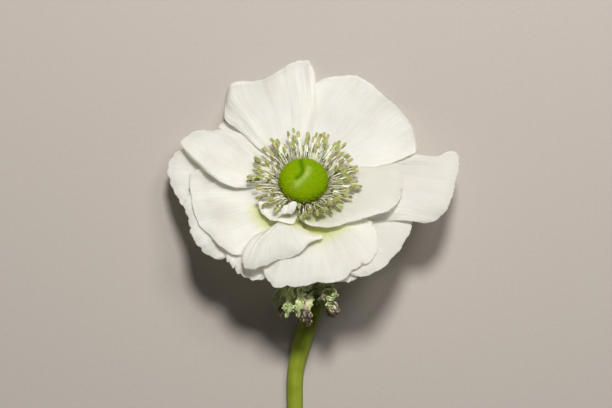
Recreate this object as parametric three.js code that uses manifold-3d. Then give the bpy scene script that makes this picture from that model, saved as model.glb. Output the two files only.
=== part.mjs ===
// A cut white anemone flower, lying face up with its stem along the surface.
// Millimetres, +Z up, +Y from the cut end of the stem to the flower. The origin is the bottom
// centre of the whole part, on the surface that it lies on.

import * as THREE from 'three';
import { mergeVertices } from 'three/addons/utils/BufferGeometryUtils.js';
import Module from 'manifold-3d';

const wasm = await Module();
wasm.setup();

// Flower head: the middle of its receptacle, and how far its axis leans from +Z toward +Y
const HEAD = new THREE.Vector3(-2.4, 53.5, 22.5);
const HEAD_LEAN = THREE.MathUtils.degToRad(30);
const AXIS = new THREE.Vector3(0, Math.sin(HEAD_LEAN), Math.cos(HEAD_LEAN));

// Receptacle, the thick end of the stem that carries all the rest
const RECEPTACLE_RADIUS = 4.2;
const RECEPTACLE_TOP = 0.5;
const RECEPTACLE_BOTTOM = -6.4;
// Below it the stem narrows: heights over the receptacle's middle and radii
const NECK = [[-8.6, 3.2], [-11.5, 2.4]];

// Petals
const PETAL_THICKNESS = 0.8;
const PETAL_GAP = 0.4;
const ROOT_REACH = 4.6;
const LAYER_LOW = -5.2;
const LAYER_STEP = 1.2;
const BOWL_RISE = 6.0;
const BOWL_REACH = 7.0;
const RIM_CURVE = 2.5;

// Green centre and stamens
const CENTRE_RADIUS = 7.1;
const CENTRE_HALF_HEIGHT = 4.4;
const CENTRE_HEIGHT = 4.0;
const CENTRE_BASE = 0.9;
const CENTRE_SIDES = 28;
const CENTRE_STEPS = 14;
const CREASE_DEPTH = 0.7;
const CREASE_WIDTH = 1.2;
const CREASE_LENGTH = 3.2;
const CREASE_MIDDLE = 2.2;
// The ring that the stamens grow from: reaches and heights of its profile
const STAMEN_RING = [[4.7, -0.4], [7.5, 1.7], [7.8, 2.9], [6.8, 2], [5.5, 0.75], [4.7, 0.35]];
const STAMEN_RING_SIDES = 30;
const STAMENS = 66;
const FILAMENT_RADIUS = 0.32;
const FILAMENT_FOOT = [6.9, 2];
const FILAMENT_BEND = 8.2;
const FILAMENT_DROP = 1.6;
const ANTHER_LENGTH = 2.2;
const ANTHER_RADIUS = 0.62;
const ANTHER_FLATNESS = 0.7;
const ANTHERS_NEAR = 9.4;
const ANTHERS_FAR = 15.6;
const ANTHERS_HIGH = 7.4;
const ANTHERS_FALL = 1.4;
// How much the stamens' heights, directions and rolls are drawn apart
const HEIGHT_DRAW = 0.4;
const TURN_DRAW = 0.1;
const ROLL_DRAW = 0.4;
const SEED = 7;

// Stem and collar
const STEM_SIDES = 12;
const STATIONS_PER_STRETCH = 2;
const COLLAR_STATION = 14;
const CLEAR = 0.3;
const SHEATH_LENGTH = 3.6;
const SHEATH_THICKNESS = 0.9;
const SHEATH_STEPS = 5;
const BLADE = 0.7;
// A lobe's width from its root to its tip, as shares of its full width, and its edges' rise
const LOBE_WIDTHS = [0.36, 0.75, 1, 0.8, 1.05, 0.75, 0.85, 0.3];
const LOBE_FOLD = 0.3;

// Each petal: the direction of its root, half of the root's spread, its layer, how much its middle
// is raised, and its rim. A rim point is the direction round the head in degrees, from +X toward
// +Y, the reach from the axis and the height over the receptacle's middle. The first and the last
// rim points, as many as sides says, run along the petal's two sides. The petals are laid in this
// order, from the rearmost up.
const PETALS = [
  {
    name: 'petal_rear_top_left', root: 138, spread: 11, layer: 0, crown: 0.3,
    sides: [3, 3], across: 8, along: 6,
    rim: [
      [130, 12, -1], [126, 22, -2.4], [125, 30.5, -3.6], [128, 34, -4.6], [131.5, 35.4, -5.1],
      [135, 35.6, -5.2], [138, 34.7, -5.2], [141, 30.5, -4.4], [143, 24, -2.8], [143, 12, -1],
    ],
  },
  {
    name: 'petal_far_left', root: 171, spread: 14, layer: 0, crown: 0.6,
    sides: [3, 3], across: 12, along: 7,
    rim: [
      [158, 12, 0], [150, 24, -2], [152, 36, -4.5], [158, 41, -5], [165, 41.8, -5.4],
      [172, 39.8, -5.6], [179, 37.3, -5.8], [186, 34.4, -6], [190, 26, -4.5], [186, 13, -1],
    ],
  },
  {
    name: 'petal_rear_left', root: 204, spread: 15, layer: 0, crown: 0.5,
    sides: [3, 3], across: 12, along: 7,
    rim: [
      [191, 12, -1], [181, 24, -2.4], [181, 33.2, -3], [186, 35, -4], [193, 34.4, -4.8],
      [200, 34.9, -5], [206, 34.8, -5.2], [213, 33.9, -5.2], [221, 31.3, -5], [224, 24, -3.4],
      [218, 13, -1],
    ],
  },
  {
    name: 'petal_rear_lower_left', root: 237, spread: 13, layer: 0, crown: 0.4,
    sides: [3, 3], across: 10, along: 6,
    rim: [
      [226, 12, -1.5], [221, 25, -2.4], [223, 30.3, -3], [230, 31.5, -3.8], [236, 31.8, -4.4],
      [243, 30.7, -4.6], [250, 28.9, -4.6], [252, 23, -3.8], [248, 12, -1],
    ],
  },
  {
    name: 'petal_rear_bottom', root: 287, spread: 10, layer: 0, crown: 0.4,
    sides: [2, 3], across: 8, along: 6,
    rim: [
      [279, 12, -1.5], [277, 22, -3.2], [284, 27.5, -3.8], [292, 30.8, -4], [299, 31.5, -3.8],
      [306, 29, -3], [304, 20, -2], [296, 12, -1],
    ],
  },
  {
    name: 'petal_lower_right', root: 316, spread: 16, layer: 0, crown: 0.8,
    sides: [3, 3], across: 12, along: 7,
    rim: [
      [302, 12, -1], [292, 23, -1.6], [296, 30, -1.4], [302, 33, -1.2], [309, 34.3, -0.8],
      [317.5, 34, -0.8], [325.5, 33.7, -0.9], [332.5, 33.5, -1.1], [339.5, 33.3, -1.4],
      [345, 31.6, -1.7], [347, 24, -1.4], [336, 12, 0],
    ],
  },
  {
    name: 'petal_right', root: 356, spread: 18, layer: 0, crown: 1.2,
    sides: [4, 5], across: 14, along: 9,
    rim: [
      [340, 12, 0], [330, 20, 1.2], [338, 28.4, 1.4], [342, 36.7, 0], [347, 40.4, -0.6],
      [353, 42.6, -0.4], [3, 44.4, 0], [12, 46.7, 0.4], [16, 45.2, 0.2], [16, 40.2, -0.6],
      [22, 34, -1.8], [30, 24, -1.8], [22, 12, -1],
    ],
  },
  {
    name: 'petal_top_right', root: 54, spread: 22, layer: 0, crown: 1,
    sides: [5, 4], across: 14, along: 9,
    rim: [
      [30, 12, 0], [19, 19, 1.2], [17, 27.6, 1.4], [20, 33.5, 0.6], [22, 36, -0.6],
      [29, 37.9, -2], [39, 40.3, -3.6], [51, 42.6, -4.8], [60, 43.2, -4.4], [67, 43.6, -3.4],
      [74, 42, -2.4], [84, 38.5, -2.2], [92, 30, -2.2], [92, 20, -1.8], [80, 12, -1.5],
    ],
  },
  {
    name: 'petal_bottom', root: 282, spread: 22, layer: 1, crown: 1,
    sides: [3, 3], across: 14, along: 8,
    rim: [
      [262, 12, -1], [246, 22, -1.6], [245, 27.4, -2], [251, 30.9, -2], [256, 32.5, -1.9],
      [263, 31.3, -1.7], [273, 30.7, -1.6], [288, 31.3, -1], [299, 30.3, -0.2], [309, 30, 0.4],
      [316, 28.2, 1], [325, 25.3, 1.6], [328, 20, 1.4], [314, 12, 0],
    ],
  },
  {
    name: 'petal_lower_left', root: 208, spread: 28, layer: 1, crown: 1.2,
    sides: [3, 4], across: 14, along: 8,
    rim: [
      [174, 12, -0.6], [165, 21.8, -1.4], [165, 30.5, -1.8], [169, 33.9, -2], [176, 33.4, -2],
      [186, 32.6, -2], [197, 32.1, -2.2], [208, 30.7, -2.4], [219, 29.9, -2.4], [229, 28.5, -2],
      [237, 24, -1.4], [243, 18, -0.8], [241, 12, -0.5],
    ],
  },
  {
    name: 'petal_upper_left', root: 158, spread: 18, layer: 1, crown: 1.2,
    sides: [3, 7], across: 14, along: 9,
    rim: [
      [142, 11, 0], [133, 20, -0.6], [135, 28, -1.4], [141, 34.2, -2.4], [145, 38, -2.6],
      [150, 40, -2.4], [155, 40.1, -1.8], [160, 36.8, -1.2], [167, 31, -0.2], [174.5, 27, 0.8],
      [181.5, 23, 1.6], [185, 18.7, 2.2], [185, 14.4, 2.2], [177, 10, 1.2],
    ],
  },
  {
    name: 'petal_top_left', root: 111, spread: 20, layer: 1, crown: 0.8,
    sides: [4, 6], across: 14, along: 9,
    rim: [
      [91, 12, 0], [81, 23.6, 1.2], [84, 35.7, 0.4], [87, 43.3, 0.3], [90, 44.6, 0.3],
      [97, 43.4, -0.8], [107, 41.4, -2.4], [117, 43.5, -3.6], [122, 43.5, -3.8], [127, 39.4, -3],
      [133, 34.5, -1.6], [134, 29.9, -0.6], [135, 24.3, 0.6], [137, 17.9, 1.6], [130, 11, 1],
    ],
  },
  {
    name: 'petal_front', root: 251, spread: 17, layer: 2, crown: 1,
    sides: [5, 3], across: 13, along: 8,
    rim: [
      [240, 11.5, 1.8], [235, 17, 2.8], [231, 21.5, 2.2], [231, 25.7, 1], [233, 29.1, -0.2],
      [238, 31.2, -0.8], [242, 30, -0.6], [247, 27.7, 0], [254, 24.8, 0.8], [265, 23.2, 1.8],
      [274, 20.3, 2.6], [288, 18.3, 3.4], [276, 15.5, 3.2], [264, 11.5, 2],
    ],
  },
  {
    name: 'petal_inner_right', root: 318, spread: 34, layer: 2, crown: 0.2,
    sides: [1, 3], across: 16, along: 8,
    rim: [
      [264, 11.8, 3.4], [274, 14.2, 4.4], [283, 15.6, 4.8], [292, 16.9, 4.8], [303, 18.2, 4.8],
      [313, 19.4, 4.7], [323, 21.4, 4.6], [331.5, 24.1, 4.6], [338, 26.4, 4.5], [345, 28, 4.2],
      [353, 28.5, 3.4], [364, 28.9, 2.8], [371, 28, 2.6], [376, 21.6, 3], [380, 15, 2.6],
    ],
  },
  {
    name: 'petal_inner_lip', root: 232, spread: 20, layer: 3, crown: 0.2,
    sides: [1, 1], across: 10, along: 6,
    rim: [
      [204, 12, 3.4], [212, 14.6, 4], [223, 15.3, 4.2], [236, 15.2, 4.6], [248, 14.4, 4.6],
      [258, 12.5, 4],
    ],
  },
];

// The stem's route in the part frame below the receptacle: x, y, z of its middle and its radius
const STEM_ROUTE = [
  [-1.9, 44.6, 9.6, 2.3], [-0.6, 38.5, 7.4, 2.3], [1.2, 30, 6.6, 2.4], [1.8, 22, 6.2, 2.4],
  [-0.3, 14.7, 4.9, 2.6], [-2.9, 6.7, 3.4, 2.75], [-4.8, -1.8, 2.6, 2.5], [-5, -13, 2.3, 2.4],
  [-4.4, -40, 2.3, 2.4], [-1.5, -70, 2.3, 2.4], [1.5, -92.5, 2.3, 2.4],
];

// Collar leaves: the part of the stem's round that each sheath covers, in degrees from the right
// over the top, and its lobes, each with its root on the sheath, its width and its route from there
// as x, y, z from the stem's middle at the collar
const BRACTS = [
  {
    name: 'bract_left', from: 158, to: 262,
    lobes: [
      {
        root: 205, width: 2.2,
        route: [[-6.2, 0.9, 5.8], [-10.6, 1.7, 8.4], [-12.4, -0.8, 6.4], [-11.8, -4.3, 2.8]],
      },
      {
        root: 190, width: 2.4,
        route: [[-6.3, 2.2, 7.6], [-9, 2.2, 13.3], [-10.5, -2.2, 13.8], [-10.7, -6.3, 12.3]],
      },
      {
        root: 178, width: 3,
        route: [[-5.6, 2.7, 9.2], [-7.3, 2.1, 17.8], [-8.4, -1.5, 20.3], [-9, -6.1, 18.3]],
      },
    ],
  },
  {
    name: 'bract_top', from: 62, to: 142,
    lobes: [
      {
        root: 126, width: 2.8,
        route: [[-2.6, 2.2, 13.8], [-4.6, 2, 20.8], [-5.4, -1.3, 22.8], [-5.7, -5.8, 20.8]],
      },
      {
        root: 106, width: 3,
        route: [
          [-1.2, 1.7, 14.8], [-1.8, 0.2, 20.3], [-3.2, -2.6, 21.8], [-3.4, -5.6, 19.3],
          [-2.5, -8.8, 15.3],
        ],
      },
      { root: 88, width: 3, route: [[-0.3, 3.2, 15.8], [-2.1, 3.8, 21.8], [-4.4, 2.1, 23.8]] },
    ],
  },
  {
    name: 'bract_right', from: -70, to: 40,
    lobes: [
      { root: 36, width: 1.4, route: [[2.9, 2.6, 11.8], [3.8, 3.7, 17.8], [5.1, 4.9, 20.8]] },
      {
        root: 28, width: 1.9,
        route: [[2.8, 1.2, 10.8], [2.8, 1.9, 19.8], [4.4, 1.5, 23.3], [4.5, -0.2, 23.3], [2.8, -0.8, 21.8]],
      },
      { root: 15, width: 1.6, route: [[2.4, -0.6, 9.8], [1.3, 0.4, 16.8], [1.9, 1.6, 20.4]] },
      {
        root: 0, width: 3.4,
        route: [[3, -1.6, 7.8], [2.2, -2, 15.8], [3.5, -2.2, 18.8], [5.3, -2.8, 17.8]],
      },
      {
        root: -20, width: 2.4,
        route: [[3.6, -3, 4.8], [3, -4, 11.8], [4.3, -4.3, 13.8], [6.4, -4.1, 12.8]],
      },
      {
        root: -35, width: 2,
        route: [[4, -4, 1.8], [3.4, -5.3, 8.3], [3.8, -5.8, 10.3], [4.8, -5.7, 9.3]],
      },
    ],
  },
];

const COLOURS = {
  petal: { color: '#EDEBE1', roughness: 0.7 },
  centre: { color: '#86A018', roughness: 0.6 },
  stamens: { color: '#C8CA96', roughness: 0.7 },
  stem: { color: '#7B8A2C', roughness: 0.55 },
  bract: { color: '#8AA25A', roughness: 0.7 },
};

const flower = new THREE.Group();
const head = new THREE.Group();
head.position.copy(HEAD);
head.rotation.x = -HEAD_LEAN;
flower.add(head);

function addMesh(group, name, geometry, finish) {
  const material = new THREE.MeshStandardMaterial({ metalness: 0, ...COLOURS[finish] });
  const mesh = new THREE.Mesh(geometry, material);
  mesh.name = name;
  group.add(mesh);
}

function geometryOf(points, triangles) {
  const geometry = new THREE.BufferGeometry();
  geometry.setAttribute('position', new THREE.Float32BufferAttribute(points.flat(), 3));
  geometry.setIndex(triangles.flat());
  return geometry;
}

// Repeatable draws from 0 to 1
function seededDraw(seed) {
  let state = seed;
  return () => {
    state = (state * 16807) % 2147483647;
    return state / 2147483647;
  };
}

// Solids, and their union in one closed body, without sealed hollows or loose scraps
function solidOf(geometry) {
  const bare = geometry.clone();
  bare.deleteAttribute('normal');
  bare.deleteAttribute('uv');
  const merged = mergeVertices(bare, 1e-4);
  return new wasm.Manifold(new wasm.Mesh({
    numProp: 3,
    vertProperties: merged.attributes.position.array,
    triVerts: Uint32Array.from(merged.index.array),
  }));
}

function fuse(geometries) {
  const whole = geometries.map(solidOf).reduce((sum, solid) => sum.add(solid));
  const body = whole.decompose().reduce((big, next) => (next.volume() > big.volume() ? next : big));
  const mesh = body.getMesh();
  const geometry = new THREE.BufferGeometry();
  geometry.setAttribute('position', new THREE.BufferAttribute(mesh.vertProperties, 3));
  geometry.setIndex(new THREE.BufferAttribute(mesh.triVerts, 1));
  return geometry;
}

// A tube through rings of equal count, closed by a fan at each end
function loft(rings) {
  const sides = rings[0].length;
  const points = rings.flat().map((p) => [p.x, p.y, p.z]);
  const triangles = [];
  for (let i = 0; i + 1 < rings.length; i += 1) {
    for (let j = 0; j < sides; j += 1) {
      const a = i * sides + j;
      const b = i * sides + (j + 1) % sides;
      triangles.push([a, b, a + sides], [b, b + sides, a + sides]);
    }
  }
  const last = (rings.length - 1) * sides;
  for (let j = 1; j + 1 < sides; j += 1) {
    triangles.push([0, j + 1, j], [last, last + j, last + j + 1]);
  }
  return geometryOf(points, triangles);
}

// Petal relief: the highest petal laid so far, in cells of direction and reach round the axis
const TURN_CELLS = 180;
const REACH_CELLS = 112;
const REACH_CELL = 0.5;
const NOTHING = -99;
const STEPS_IN_FACE = 24;
// How far a petal is raised beyond the cells where it would touch, and how far that is softened
const RAISED = { turns: 5, reaches: 9 };
const SOFTENED = { turns: 2, reaches: 4 };

function cellAt(x, y) {
  const turn = THREE.MathUtils.radToDeg(Math.atan2(y, x));
  return [((turn + 360) % 360) * (TURN_CELLS / 360), Math.hypot(x, y) / REACH_CELL];
}

function reliefOf(rows) {
  const relief = new Float64Array(TURN_CELLS * REACH_CELLS).fill(NOTHING);
  for (let i = 0; i + 1 < rows.length; i += 1) {
    for (let j = 0; j + 1 < rows[0].length; j += 1) {
      const [a, b, c, d] = [rows[i][j], rows[i][j + 1], rows[i + 1][j], rows[i + 1][j + 1]];
      for (let n = 0; n <= STEPS_IN_FACE; n += 1) {
        for (let m = 0; m <= STEPS_IN_FACE; m += 1) {
          const left = a.clone().lerp(c, n / STEPS_IN_FACE);
          const point = left.lerp(b.clone().lerp(d, n / STEPS_IN_FACE), m / STEPS_IN_FACE);
          const [turn, reach] = cellAt(point.x, point.y);
          const cell = (Math.floor(turn) % TURN_CELLS) * REACH_CELLS + Math.floor(reach);
          relief[cell] = Math.max(relief[cell], point.z);
        }
      }
    }
  }
  return relief;
}

// Each cell joined with its neighbours, first round the axis and then along the reach
function gather(relief, { turns, reaches }, join) {
  let result = relief;
  for (const [dTurn, dReach, radius] of [[1, 0, turns], [0, 1, reaches]]) {
    const source = result;
    result = new Float64Array(source.length);
    for (let t = 0; t < TURN_CELLS; t += 1) {
      for (let r = 0; r < REACH_CELLS; r += 1) {
        const near = [];
        for (let k = -radius; k <= radius; k += 1) {
          const turn = (t + k * dTurn + TURN_CELLS) % TURN_CELLS;
          const reach = THREE.MathUtils.clamp(r + k * dReach, 0, REACH_CELLS - 1);
          near.push(source[turn * REACH_CELLS + reach]);
        }
        result[t * REACH_CELLS + r] = join(near);
      }
    }
  }
  return result;
}

const highest = (near) => Math.max(...near);

function softMean(near) {
  const radius = (near.length - 1) / 2;
  const sum = near.reduce((total, value, k) => total + value * (radius + 1 - Math.abs(k - radius)), 0);
  return sum / (radius + 1) ** 2;
}

function readRelief(relief, x, y) {
  const [turn, reach] = cellAt(x, y);
  const t = Math.floor(turn - 0.5);
  const r = THREE.MathUtils.clamp(Math.floor(reach - 0.5), 0, REACH_CELLS - 2);
  const u = turn - 0.5 - t;
  const v = reach - 0.5 - r;
  const at = (i, j) => relief[((i + TURN_CELLS) % TURN_CELLS) * REACH_CELLS + j];
  const near = at(t, r) * (1 - u) + at(t + 1, r) * u;
  const far = at(t, r + 1) * (1 - u) + at(t + 1, r + 1) * u;
  return near * (1 - v) + far * v;
}

// The bowl that all petals share near their roots
const bowl = (reach) => BOWL_RISE * (1 - Math.exp((ROOT_REACH - reach) / BOWL_REACH));

// The upper face of one petal, as rows of points from its root to its outer rim. Its border starts
// and ends at the corners of its root, and the places between are blended from the four sides.
function petalFace({ root, spread, layer, crown, sides, across, along, rim }) {
  const { lerp } = THREE.MathUtils;
  const rootHeight = LAYER_LOW + layer * LAYER_STEP;
  const polar = (turn, reach, height) => {
    const angle = THREE.MathUtils.degToRad(turn);
    return new THREE.Vector3(reach * Math.cos(angle), reach * Math.sin(angle), height);
  };
  const rootPoint = (t) => polar(root + spread * (2 * t - 1), ROOT_REACH, rootHeight);
  const border = [rootPoint(0), ...rim.map((point) => polar(...point)), rootPoint(1)];
  const line = new THREE.CatmullRomCurve3(border, false, 'catmullrom', 0.5);
  const last = border.length - 1;
  // A place on the border, its height counted from the bowl that all petals share
  const borderPoint = (k) => {
    const point = line.getPoint(k / last);
    return point.setZ(point.z - rootHeight - bowl(Math.hypot(point.x, point.y)));
  };
  const leftSide = (s) => borderPoint(s * sides[0]);
  const rightSide = (s) => borderPoint(last - s * sides[1]);
  const outerRim = (t) => borderPoint(lerp(sides[0], last - sides[1], t));
  const blend = (axis, s, t, weight) => {
    const inner = axis === 'z' ? 0 : rootPoint(t)[axis];
    const bulge = (side) => side(s)[axis] - lerp(side(0)[axis], side(1)[axis], weight);
    return lerp(inner, outerRim(t)[axis], weight) + lerp(bulge(leftSide), bulge(rightSide), t);
  };
  const rows = [];
  for (let i = 0; i <= along; i += 1) {
    const s = i / along;
    rows.push(Array.from({ length: across + 1 }, (_, j) => {
      const t = j / across;
      const x = blend('x', s, t, s);
      const y = blend('y', s, t, s);
      const raised = crown * (1 - (2 * t - 1) ** 2) * Math.sin(Math.PI * s);
      const z = rootHeight + bowl(Math.hypot(x, y)) + blend('z', s, t, s ** RIM_CURVE) + raised;
      return new THREE.Vector3(x, y, Math.max(z, surfaceUnder(y) + PETAL_THICKNESS));
    }));
  }
  return rows;
}

// The surface that the flower lies on, as a height over the receptacle's middle
function surfaceUnder(y) {
  return (y * Math.sin(HEAD_LEAN) - HEAD.z) / Math.cos(HEAD_LEAN);
}

// Raises the petal just clear of those under it, and adds it to the relief
function layPetal(rows, laid) {
  const own = reliefOf(rows);
  const short = own.map((height, k) => {
    const both = height > NOTHING && laid[k] > NOTHING;
    return both ? Math.max(0, laid[k] + PETAL_THICKNESS + PETAL_GAP - height) : 0;
  });
  const lift = gather(gather(short, RAISED, highest), SOFTENED, softMean);
  rows.flat().forEach((point) => {
    point.z += readRelief(lift, point.x, point.y);
  });
  reliefOf(rows).forEach((height, k) => {
    laid[k] = Math.max(laid[k], height);
  });
}

// A closed blade: the upper face, the same face a thickness lower, and the edge between them
function blade(rows) {
  const across = rows[0].length;
  const upper = rows.flat();
  const count = upper.length;
  const points = upper.map((p) => [p.x, p.y, p.z]);
  upper.forEach((p) => points.push([p.x, p.y, p.z - PETAL_THICKNESS]));
  const triangles = [];
  for (let i = 0; i + 1 < rows.length; i += 1) {
    for (let j = 0; j + 1 < across; j += 1) {
      const a = i * across + j;
      const b = a + across;
      triangles.push([a, b, b + 1], [a, b + 1, a + 1]);
      triangles.push([count + a, count + b + 1, count + b], [count + a, count + a + 1, count + b + 1]);
    }
  }
  const border = [];
  for (let j = 0; j + 1 < across; j += 1) border.push(j);
  for (let i = 0; i + 1 < rows.length; i += 1) border.push(i * across + across - 1);
  for (let j = across - 1; j > 0; j -= 1) border.push((rows.length - 1) * across + j);
  for (let i = rows.length - 1; i > 0; i -= 1) border.push(i * across);
  border.forEach((from, k) => {
    const to = border[(k + 1) % border.length];
    triangles.push([from, to, count + to], [from, count + to, count + from]);
  });
  return geometryOf(points, triangles);
}

// Green centre: a low dome with a flat underside, and a short crease over its top
function centreDome() {
  const flat = Math.asin((CENTRE_HEIGHT - CENTRE_BASE) / CENTRE_HALF_HEIGHT);
  const profile = [new THREE.Vector2(0, CENTRE_BASE)];
  for (let k = 0; k <= CENTRE_STEPS; k += 1) {
    const angle = THREE.MathUtils.lerp(-flat, Math.PI / 2, k / CENTRE_STEPS);
    const x = k === CENTRE_STEPS ? 0 : CENTRE_RADIUS * Math.cos(angle);
    profile.push(new THREE.Vector2(x, CENTRE_HEIGHT + CENTRE_HALF_HEIGHT * Math.sin(angle)));
  }
  const dome = new THREE.LatheGeometry(profile, CENTRE_SIDES).rotateX(Math.PI / 2);
  const position = dome.attributes.position;
  for (let k = 0; k < position.count; k += 1) {
    const across = position.getX(k) / CREASE_WIDTH;
    const along = (position.getY(k) - CREASE_MIDDLE) / CREASE_LENGTH;
    const depth = CREASE_DEPTH * Math.exp(-across * across - along * along);
    if (position.getZ(k) > CENTRE_HEIGHT) position.setZ(k, position.getZ(k) - depth);
  }
  return fuse([dome]);
}

// One stamen: a filament that leaves the ring and leans out to its flattened anther
function stamen(turn, reach, height, roll) {
  const out = new THREE.Vector3(Math.cos(turn), Math.sin(turn), 0);
  const side = new THREE.Vector3(-out.y, out.x, 0);
  const at = (r, h) => out.clone().multiplyScalar(r).setZ(h);
  const bend = at(FILAMENT_BEND, height - FILAMENT_DROP);
  const path = new THREE.QuadraticBezierCurve3(at(...FILAMENT_FOOT), bend, at(reach, height));
  const sides = 4;
  const tip = path.getTangent(1);
  const anther = (along) => path.getPoint(1).addScaledVector(tip, along * ANTHER_LENGTH);
  const stations = [
    [path.getPoint(0), FILAMENT_RADIUS, FILAMENT_RADIUS],
    [path.getPoint(0.5), FILAMENT_RADIUS, FILAMENT_RADIUS],
    [anther(-0.5), FILAMENT_RADIUS, FILAMENT_RADIUS],
    [anther(-0.25), ANTHER_RADIUS, ANTHER_RADIUS * ANTHER_FLATNESS],
    [anther(0.25), ANTHER_RADIUS, ANTHER_RADIUS * ANTHER_FLATNESS],
    [anther(0.5), FILAMENT_RADIUS * 0.8, FILAMENT_RADIUS * 0.8],
  ];
  const up = new THREE.Vector3().crossVectors(tip, side).normalize();
  return loft(stations.map(([middle, wide, thick]) => {
    const ring = [];
    for (let k = 0; k < sides; k += 1) {
      const angle = roll + (2 * Math.PI * k) / sides;
      const point = middle.clone().addScaledVector(side, wide * Math.cos(angle));
      ring.push(point.addScaledVector(up, thick * Math.sin(angle)));
    }
    return ring;
  }));
}

// All stamens on the ring that they grow from, set out by the golden angle
function stamenRing() {
  const draw = seededDraw(SEED);
  const profile = [...STAMEN_RING, STAMEN_RING[0]].map((point) => new THREE.Vector2(...point));
  const pieces = [new THREE.LatheGeometry(profile, STAMEN_RING_SIDES).rotateX(Math.PI / 2)];
  const goldenAngle = Math.PI * (3 - Math.sqrt(5));
  for (let k = 0; k < STAMENS; k += 1) {
    const share = Math.sqrt((k + 0.5) / STAMENS);
    const reach = THREE.MathUtils.lerp(ANTHERS_NEAR, ANTHERS_FAR - ANTHER_LENGTH / 2, share);
    const height = ANTHERS_HIGH - ANTHERS_FALL * share + HEIGHT_DRAW * (draw() - 0.5);
    const turn = k * goldenAngle + TURN_DRAW * (draw() - 0.5);
    pieces.push(stamen(turn, reach, height, ROLL_DRAW * draw()));
  }
  return fuse(pieces);
}

// Stations along the stem: its middle, its radius and the directions along, right of and over it
function stemStations() {
  const onAxis = (height, radius) => [...HEAD.clone().addScaledVector(AXIS, height), radius];
  const route = [
    onAxis(RECEPTACLE_TOP, RECEPTACLE_RADIUS), onAxis(RECEPTACLE_BOTTOM, RECEPTACLE_RADIUS),
    ...NECK.map(([height, radius]) => onAxis(height, radius)), ...STEM_ROUTE,
  ];
  const line = new THREE.CatmullRomCurve3(route.map(([x, y, z]) => new THREE.Vector3(x, y, z)));
  const steps = STATIONS_PER_STRETCH * (route.length - 1);
  return Array.from({ length: steps + 1 }, (_, k) => {
    const stretch = Math.min(Math.floor(k / STATIONS_PER_STRETCH), route.length - 2);
    const share = k / STATIONS_PER_STRETCH - stretch;
    const radius = THREE.MathUtils.lerp(route[stretch][3], route[stretch + 1][3], share);
    const along = line.getTangent(k / steps);
    const right = new THREE.Vector3(0, 0, 1).cross(along).normalize();
    return { middle: line.getPoint(k / steps), radius, along, right, over: along.clone().cross(right) };
  });
}

// A point round a station, at an angle from its right toward its top
function around({ middle, right, over }, angle, radius) {
  const point = middle.clone().addScaledVector(right, radius * Math.cos(angle));
  return point.addScaledVector(over, radius * Math.sin(angle));
}

// The stem, flattened a little where it meets the surface
function stem(stations) {
  return loft(stations.map((station) => {
    const ring = [];
    for (let k = 0; k < STEM_SIDES; k += 1) {
      const point = around(station, (2 * Math.PI * (k + 0.5)) / STEM_SIDES, station.radius);
      ring.push(point.setZ(Math.max(point.z, 0)));
    }
    return ring;
  }));
}

// One lobe of a collar leaf: a folded ribbon with a notched edge, from the sheath to its tip
function lobe(points, width) {
  const line = new THREE.CatmullRomCurve3(points);
  const last = LOBE_WIDTHS.length - 1;
  return loft(LOBE_WIDTHS.map((share, k) => {
    const middle = line.getPoint(k / last);
    const along = line.getTangent(k / last);
    const across = new THREE.Vector3().crossVectors(along, new THREE.Vector3(0, -0.5, 1)).normalize();
    const over = across.clone().cross(along);
    const half = (width * share) / 2;
    const at = (x, z) => middle.clone().addScaledVector(across, x).addScaledVector(over, z);
    const fold = half * LOBE_FOLD;
    return [at(-half, fold), at(0, 0), at(half, fold), at(half, fold - BLADE), at(0, -BLADE),
      at(-half, fold - BLADE)];
  }));
}

// A collar leaf: a piece of sheath round the stem, and its lobes
function bract(station, { from, to, lobes }) {
  const inner = station.radius + CLEAR;
  const rings = Array.from({ length: SHEATH_STEPS + 1 }, (_, k) => {
    const angle = THREE.MathUtils.degToRad(THREE.MathUtils.lerp(from, to, k / SHEATH_STEPS));
    const edge = (radius, along) => around(station, angle, radius).addScaledVector(station.along, along);
    return [edge(inner, -SHEATH_LENGTH / 2), edge(inner, SHEATH_LENGTH / 2),
      edge(inner + SHEATH_THICKNESS, SHEATH_LENGTH / 2), edge(inner + SHEATH_THICKNESS, -SHEATH_LENGTH / 2)];
  });
  const pieces = lobes.map(({ root, width, route }) => {
    const start = around(station, THREE.MathUtils.degToRad(root), inner + SHEATH_THICKNESS / 2);
    const rest = route.map((offset) => station.middle.clone().add(new THREE.Vector3(...offset)));
    return lobe([start, ...rest], width);
  });
  return fuse([loft(rings), ...pieces]);
}

const laid = new Float64Array(TURN_CELLS * REACH_CELLS).fill(NOTHING);
for (const petal of PETALS) {
  const rows = petalFace(petal);
  layPetal(rows, laid);
  addMesh(head, petal.name, blade(rows), 'petal');
}

addMesh(head, 'centre', centreDome(), 'centre');
addMesh(head, 'stamens', stamenRing(), 'stamens');

const stations = stemStations();
addMesh(flower, 'stem', stem(stations), 'stem');
for (const leaf of BRACTS) {
  addMesh(flower, leaf.name, bract(stations[COLLAR_STATION], leaf), 'bract');
}

export default flower;
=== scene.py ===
# %% [markdown]
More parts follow.
